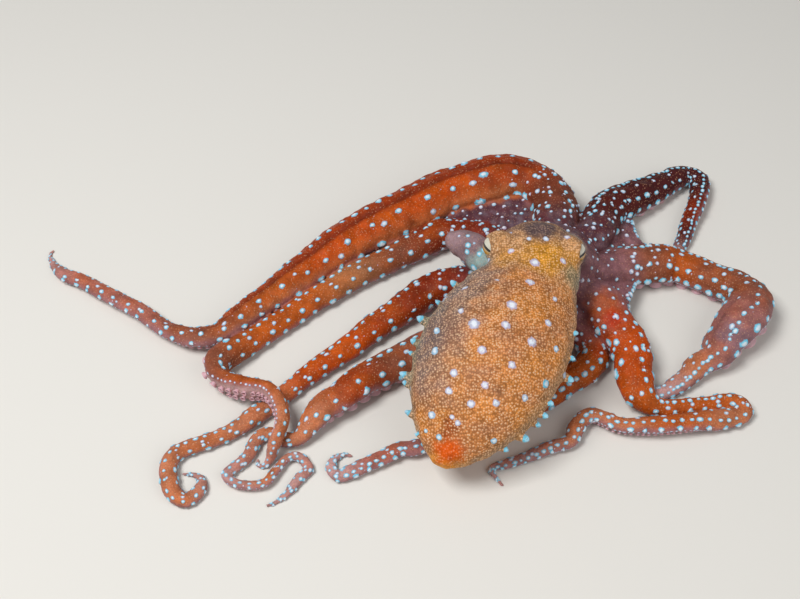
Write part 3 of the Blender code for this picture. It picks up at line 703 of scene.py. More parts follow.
# %% Papillae of the mantle
# Share of the spine, turn round it from its left side in degrees, height
PAPILLAE = [
    (0.41, 18, 3.0), (0.51, 20, 2.6), (0.57, 8, 4.5), (0.65, 6, 3.4), (0.69, 4, 3.0), (0.77, 6, 4.8),
    (0.79, 0, 3.4), (0.88, 6, 3.2), (0.94, 12, 2.0), (0.42, 163, 2.6), (0.50, 172, 2.6),
    (0.56, 183, 4.2), (0.68, 172, 2.6), (0.72, 178, 3.0), (0.75, 186, 3.0), (0.81, 180, 3.6),
    (0.87, 184, 2.4),
]
PAPILLA_SIDES = 16
PAPILLA_RINGS = 9
# Radius of the foot, a plain part and a share of the height; how flat the leaf is
PAPILLA_FOOT = (0.75, 0.30)
PAPILLA_FLAT = 0.68
# How deep it starts in the skin, how far short of its point the rings end, how full its outline is
PAPILLA_SUNK = 1.2
PAPILLA_SHORT = 0.15
PAPILLA_FULL = 2.6
# The white spot on it: how high it sits as a share of the height, its radius (a plain part and a share
# of the height) and a colder white than the other spots have
PAPILLA_SPOT_AT = 0.85
PAPILLA_SPOT = (0.9, 0.33)
PAPILLA_COLD = -0.5


def papilla_rings(foot, out, way, height):
    """Rings from under the skin up to the blunt end of a leaf."""
    across = np.cross(way, out)
    turn = 2 * math.pi * np.arange(PAPILLA_SIDES) / PAPILLA_SIDES
    around = np.cos(turn)[:, None] * way + PAPILLA_FLAT * np.sin(turn)[:, None] * across
    foot_radius = PAPILLA_FOOT[0] + PAPILLA_FOOT[1] * height
    rings = []
    for rise in np.linspace(-PAPILLA_SUNK, height, PAPILLA_RINGS):
        share = (rise + PAPILLA_SUNK) / (height + PAPILLA_SUNK + PAPILLA_SHORT)
        radius = foot_radius * math.sqrt(1 - share**PAPILLA_FULL) * (1 - 0.2 * share)
        rings.append(foot + out * rise + around * radius)
    rings.append(foot + out * (height + 0.8 * PAPILLA_SHORT) + around * (0.1 * foot_radius))
    return np.array(rings)


for share, turn, height in PAPILLAE:
    foot, out, way = on_body(share, turn)
    pieces.loft(papilla_rings(foot, out, way, height))
    radius = PAPILLA_SPOT[0] + PAPILLA_SPOT[1] * height
    add_spot(foot + out * (PAPILLA_SPOT_AT * height), radius, 0.0, PAPILLA_COLD, way)
print("papillae:", len(PAPILLAE), " points in all:", pieces.count)

# %% [markdown]
# Now the remesh. Smaller voxels give a truer skin and many more faces. At 0.45 mm even the tips of the
# arms, 1.2 mm across, keep their shape.

# %% Fuse the skin
VOXEL = 0.45


def mesh_from(name, points, faces):
    mesh = bpy.data.meshes.new(name)
    mesh.from_pydata([tuple(p) for p in points], [], faces)
    return mesh


def shown(name, mesh):
    obj = bpy.data.objects.new(name, mesh)
    bpy.context.scene.collection.objects.link(obj)
    return obj


rough = shown("rough", mesh_from("rough", np.vstack(pieces.points), pieces.faces))
voxels = rough.modifiers.new("Remesh", "REMESH")
voxels.mode = "VOXEL"
voxels.voxel_size = VOXEL
graph = bpy.context.evaluated_depsgraph_get()
skin_mesh = bpy.data.meshes.new_from_object(rough.evaluated_get(graph))
bpy.data.objects.remove(rough, do_unlink=True)
print("fused:", len(skin_mesh.vertices), "points")

# %% [markdown]
# Deep between the arms the remesh can close off pockets a voxel or two wide. Nothing of them is ever
# seen, so only the largest surface is kept. BMesh knows which edges leave each point, so a fill that
# spreads from point to point finds a whole surface.

# %% Drop the pockets
def keep_largest(mesh):
    """Drops all but the largest connected surface; returns how many were dropped."""
    shape = bmesh.new()
    shape.from_mesh(mesh)
    waiting, surfaces = set(shape.verts), []
    while waiting:
        front = [waiting.pop()]
        surface = set(front)
        while front:
            point = front.pop()
            fresh = {edge.other_vert(point) for edge in point.link_edges} & waiting
            waiting -= fresh
            surface |= fresh
            front.extend(fresh)
        surfaces.append(surface)
    surfaces.sort(key=len)
    for surface in surfaces[:-1]:
        bmesh.ops.delete(shape, geom=list(surface), context="VERTS")
    shape.to_mesh(mesh)
    shape.free()
    return len(surfaces) - 1


print("pockets dropped:", keep_largest(skin_mesh))

# %% [markdown]
# From here on the skin is worked on as columns of numbers: where each point is, and which two points
# each edge joins. Numpy changes a whole column at once, a thousand times quicker than a loop.

# %% Points and edges as numbers
flat = np.empty(len(skin_mesh.vertices) * 3, np.float32)
skin_mesh.vertices.foreach_get("co", flat)
skin_points = flat.reshape(-1, 3).astype(float)
ends = np.empty(len(skin_mesh.edges) * 2, np.int32)
skin_mesh.edges.foreach_get("vertices", ends)
ends = ends.reshape(-1, 2)
print("skin:", len(skin_points), "points,", len(skin_mesh.polygons), "faces")

# %% [markdown]
# ## Where each point of the skin lies
#
# The remesh forgets which arm a point belongs to, and the paint needs to know. Sample points with
# known places are laid over every part, and each skin point takes its place from the nearest one,
# then measures the exact distance along that part's middle line and the turn round it.

# %% Sample points
ARM_NAMES = list(ARMS)
BODY_PART, SIPHON_PART, WEB_PART = 8, 9, 10
SAMPLE_STEP = 1.6
ARM_SAMPLES, BODY_SAMPLES = 20, 60
# The first stretch of each arm lies inside the crown
FIRST_SAMPLE = 6.0
# Each brow gets one sample over the eye, which counts as this share of the spine
BROW_OUT, BROW_SHARE = 3.0, 0.1


def samples():
    """Points on every part, the number of the part and the distance along it."""
    points, parts, distances = [], [], []

    def keep(found, part, distance):
        points.append(found.reshape(-1, 3))
        parts.append(np.full(len(points[-1]), part))
        distances.append(np.broadcast_to(distance, found.shape[:-1]).ravel())

    for k, name in enumerate(ARM_NAMES):
        at = np.arange(FIRST_SAMPLE, arms[name].length, SAMPLE_STEP)
        keep(arms[name].rings(at, ARM_SAMPLES), k, at[:, None])
    at = np.arange(0.0, body.length, SAMPLE_STEP)
    keep(body.rings(at, BODY_SAMPLES), BODY_PART, at[:, None])
    for name, middle in EYES.items():
        keep(middle + EYE_OUT[name] * BROW_OUT, BODY_PART, np.array(BROW_SHARE * body.length))
    rings = siphon_rings(ARM_SAMPLES)
    keep(rings, SIPHON_PART, np.linspace(0, siphon_line.length, len(rings))[:, None])
    for sheet in web_sheets:
        keep(sheet, WEB_PART, np.array(0.0))
    return np.vstack(points), np.concatenate(parts), np.concatenate(distances)


sample_points, sample_parts, sample_distances = samples()
print("samples:", len(sample_points))

# %% [markdown]
# Measuring every skin point against every sample would take thousands of millions of distances. A k-d
# tree sorts the samples into halves of halves, so that each search looks at a few of them only.

# %% Nearest samples
def nearest(places, points):
    """For each point the number of the nearest place."""
    tree = KDTree(len(places))
    for i, place in enumerate(places):
        tree.insert(place, i)
    tree.balance()
    return np.array([tree.find(point)[1] for point in points.tolist()])


index = nearest(sample_points, skin_points)
part_of = sample_parts[index]
distance_of = sample_distances[index].astype(float)
is_arm = part_of < BODY_PART
is_body = part_of == BODY_PART
is_siphon = part_of == SIPHON_PART
is_web = part_of == WEB_PART
print("points on arms", is_arm.sum(), "body", is_body.sum())
print("points on the siphon", is_siphon.sum(), "web", is_web.sum())

# %% [markdown]
# The sample is at most a millimetre off. The exact place follows from the middle line: how far the
# point has slipped along it, then the turn round it, and how far out of the section the point is.

# %% Distance and turn
turn_of = np.zeros(len(skin_points))
out_of = np.zeros(len(skin_points))
width_of = np.zeros(len(skin_points))


def measure(line, mask, half, back, belly):
    """Distance along a line, turn round it, and how far out of its section, for the masked points."""
    from_middle = skin_points[mask] - line.read(line.point, distance_of[mask])
    along = np.einsum("ij,ij->i", from_middle, line.read(line.along, distance_of[mask]))
    at = np.clip(distance_of[mask] + along, 0.0, line.length)
    from_middle = skin_points[mask] - line.read(line.point, at)
    x = np.einsum("ij,ij->i", from_middle, line.read(line.across, at)) / line.read(half, at)
    y = np.einsum("ij,ij->i", from_middle, line.read(line.up, at))
    y = y / np.where(y > 0, line.read(back, at), line.read(belly, at))
    distance_of[mask] = at
    turn_of[mask] = np.degrees(np.arctan2(y, x)) % 360
    out_of[mask] = np.hypot(x, y)


for k, name in enumerate(ARM_NAMES):
    arm = arms[name]
    mask = part_of == k
    measure(arm, mask, arm.width / 2, arm.width * ARM_BACK, arm.width * ARM_SOLE)
    width_of[mask] = arm.read(arm.width, distance_of[mask])
measure(body, is_body, body.half, body.back, body.belly)
print("arm points are", round(float(width_of[is_arm].mean() / 2), 1), "mm from the middle on average")

# %% [markdown]
# ## Smooth the joins
#
# Each pass moves a point towards the middle of its neighbours. Thin arms would shrink, so on them
# every pass inward is followed by one outward. Round the crown the passes go inward only, which
# fills the creases between arms, web and head as soft tissue does.

# %% Neighbours
links = np.bincount(ends.ravel(), minlength=len(skin_points)).astype(float)


def neighbours_mean(values):
    """The mean of each point's neighbours along the mesh's edges."""
    flat = values.reshape(len(values), -1)
    total = np.empty_like(flat)
    for k in range(flat.shape[1]):
        total[:, k] = np.bincount(ends[:, 0], flat[ends[:, 1], k], len(flat))
        total[:, k] += np.bincount(ends[:, 1], flat[ends[:, 0], k], len(flat))
    return (total / links[:, None]).reshape(values.shape)


print("neighbours of a point:", round(float(links.mean()), 2))

# %% [markdown]
# Where the skin is near the crown is worked out once, as a number between 0 and 1 that fades along
# each arm and is blurred by its neighbours. The paint and the bumps of the web use it too.

# %% Smooth
SMOOTH_IN, SMOOTH_OUT = 0.5, -0.52
SMOOTH_PASSES, BLUR_PASSES = 8, 12
CROWN_REACH = 12.0
root_end = np.array([arms[n].shape["web"] for n in ARM_NAMES] + [0.0, 0.0, 0.0])
near_crown = np.where(is_arm, 1 - eased(distance_of - root_end[part_of], 0.0, CROWN_REACH), 0.0)
near_crown = np.maximum(near_crown, is_web)
near_crown = np.maximum(near_crown, np.where(is_body, 1 - eased(out_of, 0.9, 1.0), 0.0))
for _ in range(BLUR_PASSES):
    near_crown = neighbours_mean(near_crown)
for _ in range(SMOOTH_PASSES):
    skin_points += SMOOTH_IN * (neighbours_mean(skin_points) - skin_points)
    outward = SMOOTH_OUT * (1 - near_crown[:, None])
    skin_points += outward * (neighbours_mean(skin_points) - skin_points)

skin_mesh.vertices.foreach_set("co", skin_points.astype(np.float32).ravel())
skin_mesh.update()
flat = np.empty(len(skin_points) * 3, np.float32)
skin_mesh.vertex_normals.foreach_get("vector", flat)
skin_normals = flat.reshape(-1, 3).astype(float)
print("smoothed; share near the crown", round(float(near_crown.mean()), 2))

# %% [markdown]
# ## The rows of white spots
#
# The spots give the animal its name. On the arms they stand in rows: along both upper edges, larger
# ones along the sides, a sparse row on the back, and beads close together along the margin above the
# suckers. Each row is a walk along the arm with a step that follows its width, and a seeded draw moves
# each spot a little. On the front left arm the second row starts on the back and drifts to the edge.

# %% Rows of spots
draw = np.random.default_rng(8)
# Turn round the arm at its root and its tip, step and radius (each a plain part and a share of the
# arm's width), rise as a share of the radius, warmth of the white, jitter of the turn
ROWS = [
    (60, 56, (2.6, 0.17), (0.54, 0.034), 0.5, 0.05, 3.0),
    (132, 127, (3.6, 0.46), (0.62, 0.038), 0.45, 0.1, 5.0),
    (4, 8, (3.6, 0.38), (0.66, 0.056), 0.45, 0.0, 4.0),
    (176, 172, (3.6, 0.42), (0.66, 0.056), 0.45, 0.0, 4.0),
    (92, 92, (7.0, 0.70), (0.46, 0.034), 0.36, 0.5, 12.0),
    (-24, -20, (1.3, 0.07), (0.32, 0.016), 0.5, 0.7, 3.0),
    (204, 200, (1.3, 0.07), (0.32, 0.016), 0.5, 0.7, 3.0),
]
ROW_OF_ITS_OWN = {("arm_left_1", 132): (110, 134), ("arm_left_1", 92): (150, 100)}
# Where the second left arm curls and turns its sole to us, the row on that side ends
ROW_ENDS = {("arm_left_2", 4): 155.0}
# The right arms mirror the left ones. Their edge rows change in step and in radius by these shares
RIGHT_ROWS = {"arm_right_1": (0.58, 0.95), "arm_right_2": (0.58, 0.95),
              "arm_right_3": (0.9, 1.1), "arm_right_4": (0.9, 1.1)}
ROW_START, ROW_STOP = 22.0, 2.0
# How much single spots differ in size and in the step to the next, and how far they are drawn out
SIZE_SPREAD, STEP_SPREAD, STRETCH = (0.75, 1.15), (0.85, 1.15), (1.05, 1.5)


def row_of_spots(arm, turns, pitch, radius, rise, warmth, jitter):
    """Walks along an arm and leaves a spot at every step."""
    start, last = ROW_START, ROW_ENDS.get((arm.name, turns[0]), arm.length - ROW_STOP)
    on_right = arm.name.startswith("arm_right")
    step_share, radius_share = RIGHT_ROWS.get(arm.name, (1.0, 1.0))
    distance = start + draw.uniform(0, 2)
    while distance < last:
        width = arm.read(arm.width, distance)
        way_out = (distance - start) / (last - start)
        here = turns[0] + (turns[1] - turns[0]) * way_out + draw.normal(0, jitter)
        here = math.radians(180 - here if on_right else here)
        size = (radius[0] + radius[1] * width) * draw.uniform(*SIZE_SPREAD) * radius_share
        place = arm.surface(np.array(distance), np.array(here))
        way = arm.read(arm.along, distance)
        add_spot(place, size, rise * size, warmth, way, draw.uniform(*STRETCH))
        distance += (pitch[0] + pitch[1] * width) * draw.uniform(*STEP_SPREAD) * step_share


print("rows on each arm:", len(ROWS))

# %% [markdown]
# Each arm gets its rows, and then a few stray dots strewn over its back and sides.

# %% Spots of the arms
STRAY_STEP, STRAY_SPREAD = 3.6, (0.4, 1.4)
STRAY_RADIUS = (0.2, 0.36)
STRAY_TURNS = (-5, 185)
STRAY_RISE = 0.3
STRAY_SHARE = 0.85

for arm in arms.values():
    for first_turn, last_turn, *sizes in ROWS:
        row_of_spots(arm, ROW_OF_ITS_OWN.get((arm.name, first_turn), (first_turn, last_turn)), *sizes)
    distance = ROW_START
    while distance < STRAY_SHARE * arm.length:
        place = arm.surface(np.array(distance), np.array(math.radians(draw.uniform(*STRAY_TURNS))))
        size = draw.uniform(*STRAY_RADIUS)
        add_spot(place, size, STRAY_RISE * size, 1.0, arm.read(arm.along, distance))
        distance += STRAY_STEP * draw.uniform(*STRAY_SPREAD)
print("spots on the arms:", len(spots))

# %% [markdown]
# Skin is never quite even: it swells and sinks, and its colour clouds. A sum of a few sine waves that
# run in drawn directions gives such a slow change at any point in space, with hills as far apart as
# is asked for. It needs no picture and no seam, and it is the same in every run.

# %% Slow waves
def waves(points, size, seed, count=7):
    """An uneven swell between about -1 and 1, with hills about one size apart, in millimetres."""
    draw_waves = np.random.default_rng(seed)
    total = np.zeros(len(points))
    for _ in range(count):
        way = unit(draw_waves.normal(size=3)) * (2 * math.pi / size) * draw_waves.uniform(0.7, 1.4)
        total += np.sin(points @ way + draw_waves.uniform(0, 2 * math.pi))
    return total / math.sqrt(count)


print("spread of the waves:", round(float(waves(skin_points, 10.0, 0).std()), 2))

# %% [markdown]
# On the web the spots turn into blunt bumps, cyan and lilac in turn. They crowd along its free edges,
# and between the edges they are scattered over the skin itself: points of the mesh are tried in a
# shuffled order, and one is kept if it stands far enough from all that are kept.

# %% Bumps on the web
BUMP_SPACING = (2.8, 6.5)
BUMP_RADIUS = (0.55, 1.05)
BUMP_RISE = 0.75
BUMP_WARMTH = (0, 0.9)
# Where bumps crowd they are this much larger, and where they are sparse smaller by the second share
BUMP_LARGER, BUMP_SMALLER = 1.1, 0.3
BUMP_PATCH = 9.0
BUMPS_WITHIN, FACING_DOWN = 0.7, -0.1
TRY_EVERY = 6
TO_THE_RIGHT = np.array([1.0, 0, 0])


def scattered(candidates, spacing):
    """Candidates kept so that each stands at least its own spacing from those kept before it."""
    cells, kept = {}, []
    wide = float(spacing.max())
    for i in candidates:
        point = skin_points[i]
        x, y, z = (int(v) for v in np.floor(point / wide))
        near = [p for dx in (-1, 0, 1) for dy in (-1, 0, 1) for dz in (-1, 0, 1)
                for p in cells.get((x + dx, y + dy, z + dz), ())]
        if all(((point - p) ** 2).sum() > spacing[i] ** 2 for p in near):
            cells.setdefault((x, y, z), []).append(point)
            kept.append(i)
    return kept


sparse = 0.5 - 0.5 * np.clip(waves(skin_points, BUMP_PATCH, 5), -1, 1)
bump_spacing = BUMP_SPACING[0] + (BUMP_SPACING[1] - BUMP_SPACING[0]) * sparse
zone = (near_crown > BUMPS_WITHIN) & (is_arm | is_web) & (skin_normals[:, 2] > FACING_DOWN)
candidates = draw.permutation(np.flatnonzero(zone))[::TRY_EVERY]
for i in scattered(candidates, bump_spacing):
    size = draw.uniform(*BUMP_RADIUS) * (BUMP_LARGER - BUMP_SMALLER * sparse[i])
    add_spot(skin_points[i], size, BUMP_RISE * size, draw.uniform(*BUMP_WARMTH), TO_THE_RIGHT)
print("spots with the bumps of the web:", len(spots))

# %% [markdown]
# Along the free edges of the web the bumps follow the hollow line of each sheet, a little unevenly.

# %% Bumps along the edges
EDGE_STEP, EDGE_SPREAD = 2.3, (0.7, 1.5)
EDGE_RADIUS = (0.95, 1.45)
EDGE_RISE = 0.6
EDGE_WARMTH = (0, 0.3)
EDGE_JITTER = 0.5
EDGE_HEIGHT = 0.5

for sheet in web_sheets:
    edge = sheet[-1]
    along = lengths_along(edge)
    distance = draw.uniform(0, EDGE_STEP)
    while distance < along[-1]:
        place = np.array([np.interp(distance, along, edge[:, k]) for k in range(3)])
        place[:2] += draw.normal(0, EDGE_JITTER, 2)
        size = draw.uniform(*EDGE_RADIUS)
        place[2] += EDGE_HEIGHT
        add_spot(place, size, EDGE_RISE * size, draw.uniform(*EDGE_WARMTH), TO_THE_RIGHT)
        distance += EDGE_STEP * draw.uniform(*EDGE_SPREAD)
print("spots with the edges of the web:", len(spots))

# %% [markdown]
# On the head and mantle the larger spots have places of their own. Those that the photograph shows
# are named by their pixels there and found on the skin by a ray through the camera, so that they sit
# on the surface from any side. The far sides get others at the same spacing.

# %% Spots seen on the body
# Pixel of each spot's middle, its radius in millimetres and the warmth of its white
SPOTS_SEEN = [
    (465, 288, 1.5, 0.8), (461, 311, 1.3, 0.8), (474, 324, 2.1, 0.8), (437, 331, 1.3, 0.4),
    (435, 351, 1.5, 0.4), (454, 373, 1.5, 0.8), (449, 391, 1.4, 0.8), (471, 404, 1.5, 0.8),
    (496, 403, 1.4, 0.8), (432, 415, 1.4, 0.5), (452, 417, 0.9, 0.8), (458, 423, 1.1, 0.8),
    (426, 431, 0.8, 0.2), (439, 437, 1.1, 0.2), (494, 441, 1.3, 0.3), (525, 398, 1.3, 0.6),
    (512, 305, 2.0, 0.9), (506, 325, 1.7, 0.9), (532, 342, 1.9, 0.9), (482, 350, 1.7, 0.9),
    (512, 365, 1.5, 0.9), (485, 385, 1.4, 1.0), (548, 323, 1.4, 0.8), (556, 349, 1.3, 0.4),
    (555, 299, 1.0, 0.8), (530, 282, 1.7, 0.9), (535, 263, 1.9, 0.9), (511, 251, 1.4, 1.0),
    (563, 261, 1.4, 1.0), (567, 237, 1.3, 0.9), (529, 239, 1.0, 0.7), (546, 239, 1.2, 0.7),
    (510, 233, 1.0, 0.9), (546, 384, 1.7, 0.0), (497, 280, 0.8, 0.9), (468, 236, 0.9, 0.1),
    (468, 245, 1.2, 0.0), (467, 252, 1.1, 0.0), (479, 254, 1.2, 0.0), (484, 250, 1.1, 0.0),
    (474, 268, 1.5, 0.0), (471, 272, 1.2, 0.0), (486, 230, 1.5, 0.0), (444, 243, 1.0, 0.3),
    (452, 230, 0.8, 0.5), (463, 262, 0.9, 0.3), (459, 236, 0.6, 0.6), (474, 243, 0.6, 0.3),
]
SPOT_RISE = 0.22
SPOT_STRETCH = 1.15
DOWN_THE_MANTLE = np.array([0.5, -0.85, 0.0])

seen = BVHTree.FromPolygons(skin_points.tolist(), [tuple(p.vertices) for p in skin_mesh.polygons])
body_spots = []
for x, y, radius, warmth in SPOTS_SEEN:
    hit = seen.ray_cast(*ray_through(x, y))[0]
    if hit is not None:
        body_spots.append(np.array(hit))
        add_spot(body_spots[-1], radius, SPOT_RISE * radius, warmth, DOWN_THE_MANTLE, SPOT_STRETCH)
print("spots seen on the body:", len(body_spots))

# %% [markdown]
# The sides of the body that face away from the camera are filled by trying places at random. One is
# kept if it is turned away far enough and stands clear of all other spots.

# %% Spots on the far sides
TRIES = 900
FAR_SPACING = 9.0
FAR_SHARES = (0.05, 0.97)
FAR_RADIUS = (0.9, 1.6)
FAR_WARMTH = 0.6
# A slope to the line of sight: 0 is edge on, below it the skin still faces the camera a little
TURNED_AWAY = -0.25
ABOVE_FLOOR = 6

for _ in range(TRIES):
    share, turn = draw.uniform(*FAR_SHARES), draw.uniform(0, 360)
    foot, out, way = on_body(share, turn)
    from_camera = unit(foot - CAMERA_FROM_CROWN)
    clear = np.linalg.norm(np.array(body_spots) - foot, axis=1).min()
    if out @ from_camera > TURNED_AWAY and clear > FAR_SPACING and foot[2] > ABOVE_FLOOR:
        body_spots.append(foot)
        radius = draw.uniform(*FAR_RADIUS)
        add_spot(foot, radius, SPOT_RISE * radius, FAR_WARMTH, way, SPOT_STRETCH)
print("spots in all:", len(spots))

# %% [markdown]
# A few patches of colour also have a place of their own: orange and yellow near the mantle's tip, the
# yellow of the head, the dark brow, the pale neck behind the left eye, red and rust on the right arms,
# and a lilac bend. They are found by their pixels too.

# %% Places of the patches
TIP_ORANGE = "#d4560a"
TIP_YELLOW = "#ee9c2a"
HEAD_YELLOW = "#e29a24"
BROW_DARK = "#54444a"
NECK_PALE = "#8ea6a2"
NECK_GREEN = "#8e8e70"
TIP_RUST = "#a8480e"
PATCH_RED = "#aa2a00"
BEND_LILAC = "#7c6876"
FOLD_PINK = "#ba8074"
# Pixel of the middle, radius in millimetres, paint, strength
PATCHES = [
    (446, 464, 8.5, TIP_YELLOW, 0.8), (448, 452, 6.5, TIP_ORANGE, 1.0),
    (450, 428, 4.2, TIP_RUST, 0.7), (545, 256, 11.0, HEAD_YELLOW, 0.85),
    (506, 258, 7.0, HEAD_YELLOW, 0.5), (572, 262, 5.0, HEAD_YELLOW, 0.6),
    (540, 228, 10.0, BROW_DARK, 0.95), (510, 229, 7.5, BROW_DARK, 0.7),
    (568, 234, 6.5, BROW_DARK, 0.65), (484, 259, 5.5, NECK_PALE, 0.9),
    (472, 266, 4.5, NECK_PALE, 0.8), (574, 278, 6.0, NECK_GREEN, 0.7),
    (604, 306, 9.0, RUST, 0.75), (612, 318, 5.0, PATCH_RED, 0.9),
    (600, 352, 4.5, PATCH_RED, 0.5), (615, 404, 6.0, FOLD_PINK, 0.75),
    (736, 338, 8.0, BEND_LILAC, 0.55), (437, 336, 10.0, BROW_DARK, 0.4),
]

patches = []
for x, y, radius, tone, strength in PATCHES:
    hit = seen.ray_cast(*ray_through(x, y))[0]
    if hit is not None:
        patches.append((np.array(hit), radius, tone, strength))
print("patches:", len(patches))

# %% [markdown]
# ## Relief
#
# Every skin point now measures how far it is inside its nearest spot: 1 in the middle, 0 at the rim,
# below 0 outside. The same number lifts the surface and, later, picks the paint, so a spot's
# colour always sits on its bump. Slow waves and faint creases keep the arms from looking turned.

# %% How far inside a spot
spot_places, spot_radii, spot_rises, spot_warmths, spot_ways, spot_stretches = (
    np.array(column, float) for column in zip(*spots))
which = nearest(spot_places, skin_points)
offset = skin_points - spot_places[which]
lengthwise = np.einsum("ij,ij->i", offset, spot_ways[which])
crosswise = np.sqrt(np.maximum(np.einsum("ij,ij->i", offset, offset) - lengthwise**2, 0.0))
reach = np.hypot(crosswise, lengthwise / spot_stretches[which])
inside = np.clip(1 - reach / spot_radii[which], -1.0, 1.0)
warmth = spot_warmths[which]
print("points inside a spot:", (inside > 0).sum())

# %% [markdown]
# The front left arm has one deep groove beside its outer row of spots, the others a faint one on each
# side of the back. Grooves are cut by the turn round the arm, in degrees, and deepen with its width.

# %% Raise spots, grooves and waves
SPOT_SWELL = (-0.25, 0.7)
GROOVE_TURN, GROOVE_HALF, GROOVE_DEPTH = 86, 5.0, 0.036
FAINT_TURNS, FAINT_HALF, FAINT_DEPTH = (112, 68), 6, 0.014
# Distance of the hills, and their height: on arms a share of the width, elsewhere in millimetres
LONG_WAVE, LONG_SHARE, LONG_HEIGHT = 7.0, 0.012, 0.2
SHORT_WAVE, SHORT_HEIGHT = 2.6, 0.05


def groove(turn, half):
    """1 in the middle of a groove along the arm, fading to 0 beside it."""
    return np.exp(-(((turn_of - turn) / half) ** 2))


is_front_left, is_second_left, is_front_right = (
    part_of == ARM_NAMES.index(name) for name in ("arm_left_1", "arm_left_2", "arm_right_1"))
deep = GROOVE_DEPTH * groove(GROOVE_TURN, GROOVE_HALF)
faint = FAINT_DEPTH * sum(groove(turn, FAINT_HALF) for turn in FAINT_TURNS)
lift = spot_rises[which] * eased(inside, *SPOT_SWELL)
lift -= np.where(is_arm, width_of * np.where(is_front_left, deep, faint) * (1 - near_crown), 0.0)
lift += waves(skin_points, LONG_WAVE, 1) * np.where(is_arm, LONG_SHARE * width_of, LONG_HEIGHT)
lift += SHORT_HEIGHT * waves(skin_points, SHORT_WAVE, 2)
print("lift from", round(float(lift.min()), 2), "to", round(float(lift.max()), 2), "mm")

# %% [markdown]
# The lids: over each eye the skin opens in a lens-shaped gap. Points inside the gap sink behind the
# eyeball, and the rim round it swells into a lid. Then the lift is complete, and every point moves out
# along its normal by it.

# %% Open the lids
LID_LONG, LID_HIGH = 3.8, 2.7
LID_SINK, LID_SWELL = 2.6, 0.35
EYE_LEAN = np.array([0.0, -0.45, 0.5])
# How far out of the eye's middle the lids begin
LIDS_OUT = 1.0
# Places across the gap, as shares of its size: its rim, the top of the lid and the lid's half width
GAP_RIM = (0.82, 1.08)
LID_TOP, LID_HALF = 1.3, 0.25
GAP_REACH = 2.5

eye_axes = {}
for name, middle in EYES.items():
    out = unit(EYE_OUT[name] + EYE_LEAN)
    ahead = unit(np.cross(np.array([0, 0, 1.0]), out))
    above = np.cross(out, ahead)
    eye_axes[name] = (out, ahead, above)
    offset = skin_points - middle
    gap = np.hypot(offset @ ahead / LID_LONG, offset @ above / LID_HIGH)
    near = (offset @ out > LIDS_OUT) & (gap < GAP_REACH)
    sink = 1 - eased(gap, *GAP_RIM)
    swell = np.exp(-(((gap - LID_TOP) / LID_HALF) ** 2))
    skin_points = skin_points - np.where(near, LID_SINK * sink, 0.0)[:, None] * out
    lift += np.where(near, LID_SWELL * swell, 0.0)
skin_points = skin_points + skin_normals * lift[:, None]
print("lids opened:", len(eye_axes))

# %% [markdown]
# ## Paint the ground colour
#
# Under the spots the skin has a ground colour that changes slowly: orange-red on the backs of the
# arms, mauve along their lower sides, pale rose on the soles, dark maroon on the web, sandy orange on
# the mantle and yellow on the head. It is worked out point by point from the places just measured.

# %% Mixing paints
def mix(first, second, share):
    """From one colour towards another, by a share for each point."""
    return first * (1 - share[:, None]) + second * share[:, None]


def lay(colour, paint, share):
    """Lays a named paint over the colours, as thickly as the share says."""
    return mix(colour, linear(paint), share)


def all_over(paint):
    """One paint on every point."""
    return np.tile(linear(paint), (len(skin_points), 1))


print("paint is mixed for", len(skin_points), "points")

# %% [markdown]
# The backs of the arms take their tones from the tables. Amber clouds lie over the upper part of each
# back: partly the arm's own amber, partly a painted highlight where the back faces up. The front right
# arm gets none, as its dark tones are partly painted shade.

# %% Backs of the arms
AMBER_AND_HIGHLIGHT = "#bc5a0e"
AMBER_HIGHLIGHT_SHARE = 0.35
# Size of the clouds, the waves that make one, and the sines of the turn over which they come in
AMBER_CLOUD, AMBER_WAVES, HIGHLIGHT_TURNS = 14.0, (-0.6, 1.0), (0.3, 0.8)

arm_share = np.zeros(len(skin_points))
arm_colour = np.zeros((len(skin_points), 3))
for k, name in enumerate(ARM_NAMES):
    mask = part_of == k
    arm_share[mask] = distance_of[mask] / arms[name].length
    arm_colour[mask] = at_share([linear(tone) for tone in ARMS[name]["tones"]], arm_share[mask])
height = np.sin(np.radians(turn_of))
# Amber on the upper back only: partly the arm's own colour, partly a painted highlight
amber_and_highlight = eased(waves(skin_points, AMBER_CLOUD, 22), *AMBER_WAVES) * eased(height, *HIGHLIGHT_TURNS)
arm_colour = lay(arm_colour, AMBER_AND_HIGHLIGHT, AMBER_HIGHLIGHT_SHARE * amber_and_highlight * (1 - near_crown) * ~is_front_right)
print("tones on", is_arm.sum(), "points")

# %% [markdown]
# The front left arm is the one with a deep groove. Above it runs a red strip, the groove is darkened
# with painted shade, and past the back the arm turns a paler orange. All three fade towards the crown
# and the tip.

# %% The grooved arm
STRIP_RED = "#96340e"
GROOVE_PAINTED_SHADE = "#5c180c"
PALE_ORANGE = "#b8784c"
STRIP_SHARE, GROOVE_SHADE_SHARE, PALE_SHARE = 0.8, 0.75, 0.5
# Share of the arm over which the three fade; turns in degrees: the strip's edge to either side of the
# groove, half the width of the painted shade in the groove, and where the pale side begins
FADE_OUT = (0.6, 0.75)
STRIP_EDGE = (-6, 4)
GROOVE_SHADE_HALF = 9
PALE_FROM = (125, 165)

on_it = np.where(is_front_left, 1 - near_crown, 0.0) * (1 - eased(arm_share, *FADE_OUT))
turn = np.where(turn_of > 270, turn_of - 360, turn_of)
strip = 1 - eased(turn - GROOVE_TURN, *STRIP_EDGE)
groove_shade = np.exp(-(((turn - GROOVE_TURN) / GROOVE_SHADE_HALF) ** 2))
arm_colour = lay(arm_colour, STRIP_RED, STRIP_SHARE * on_it * strip)
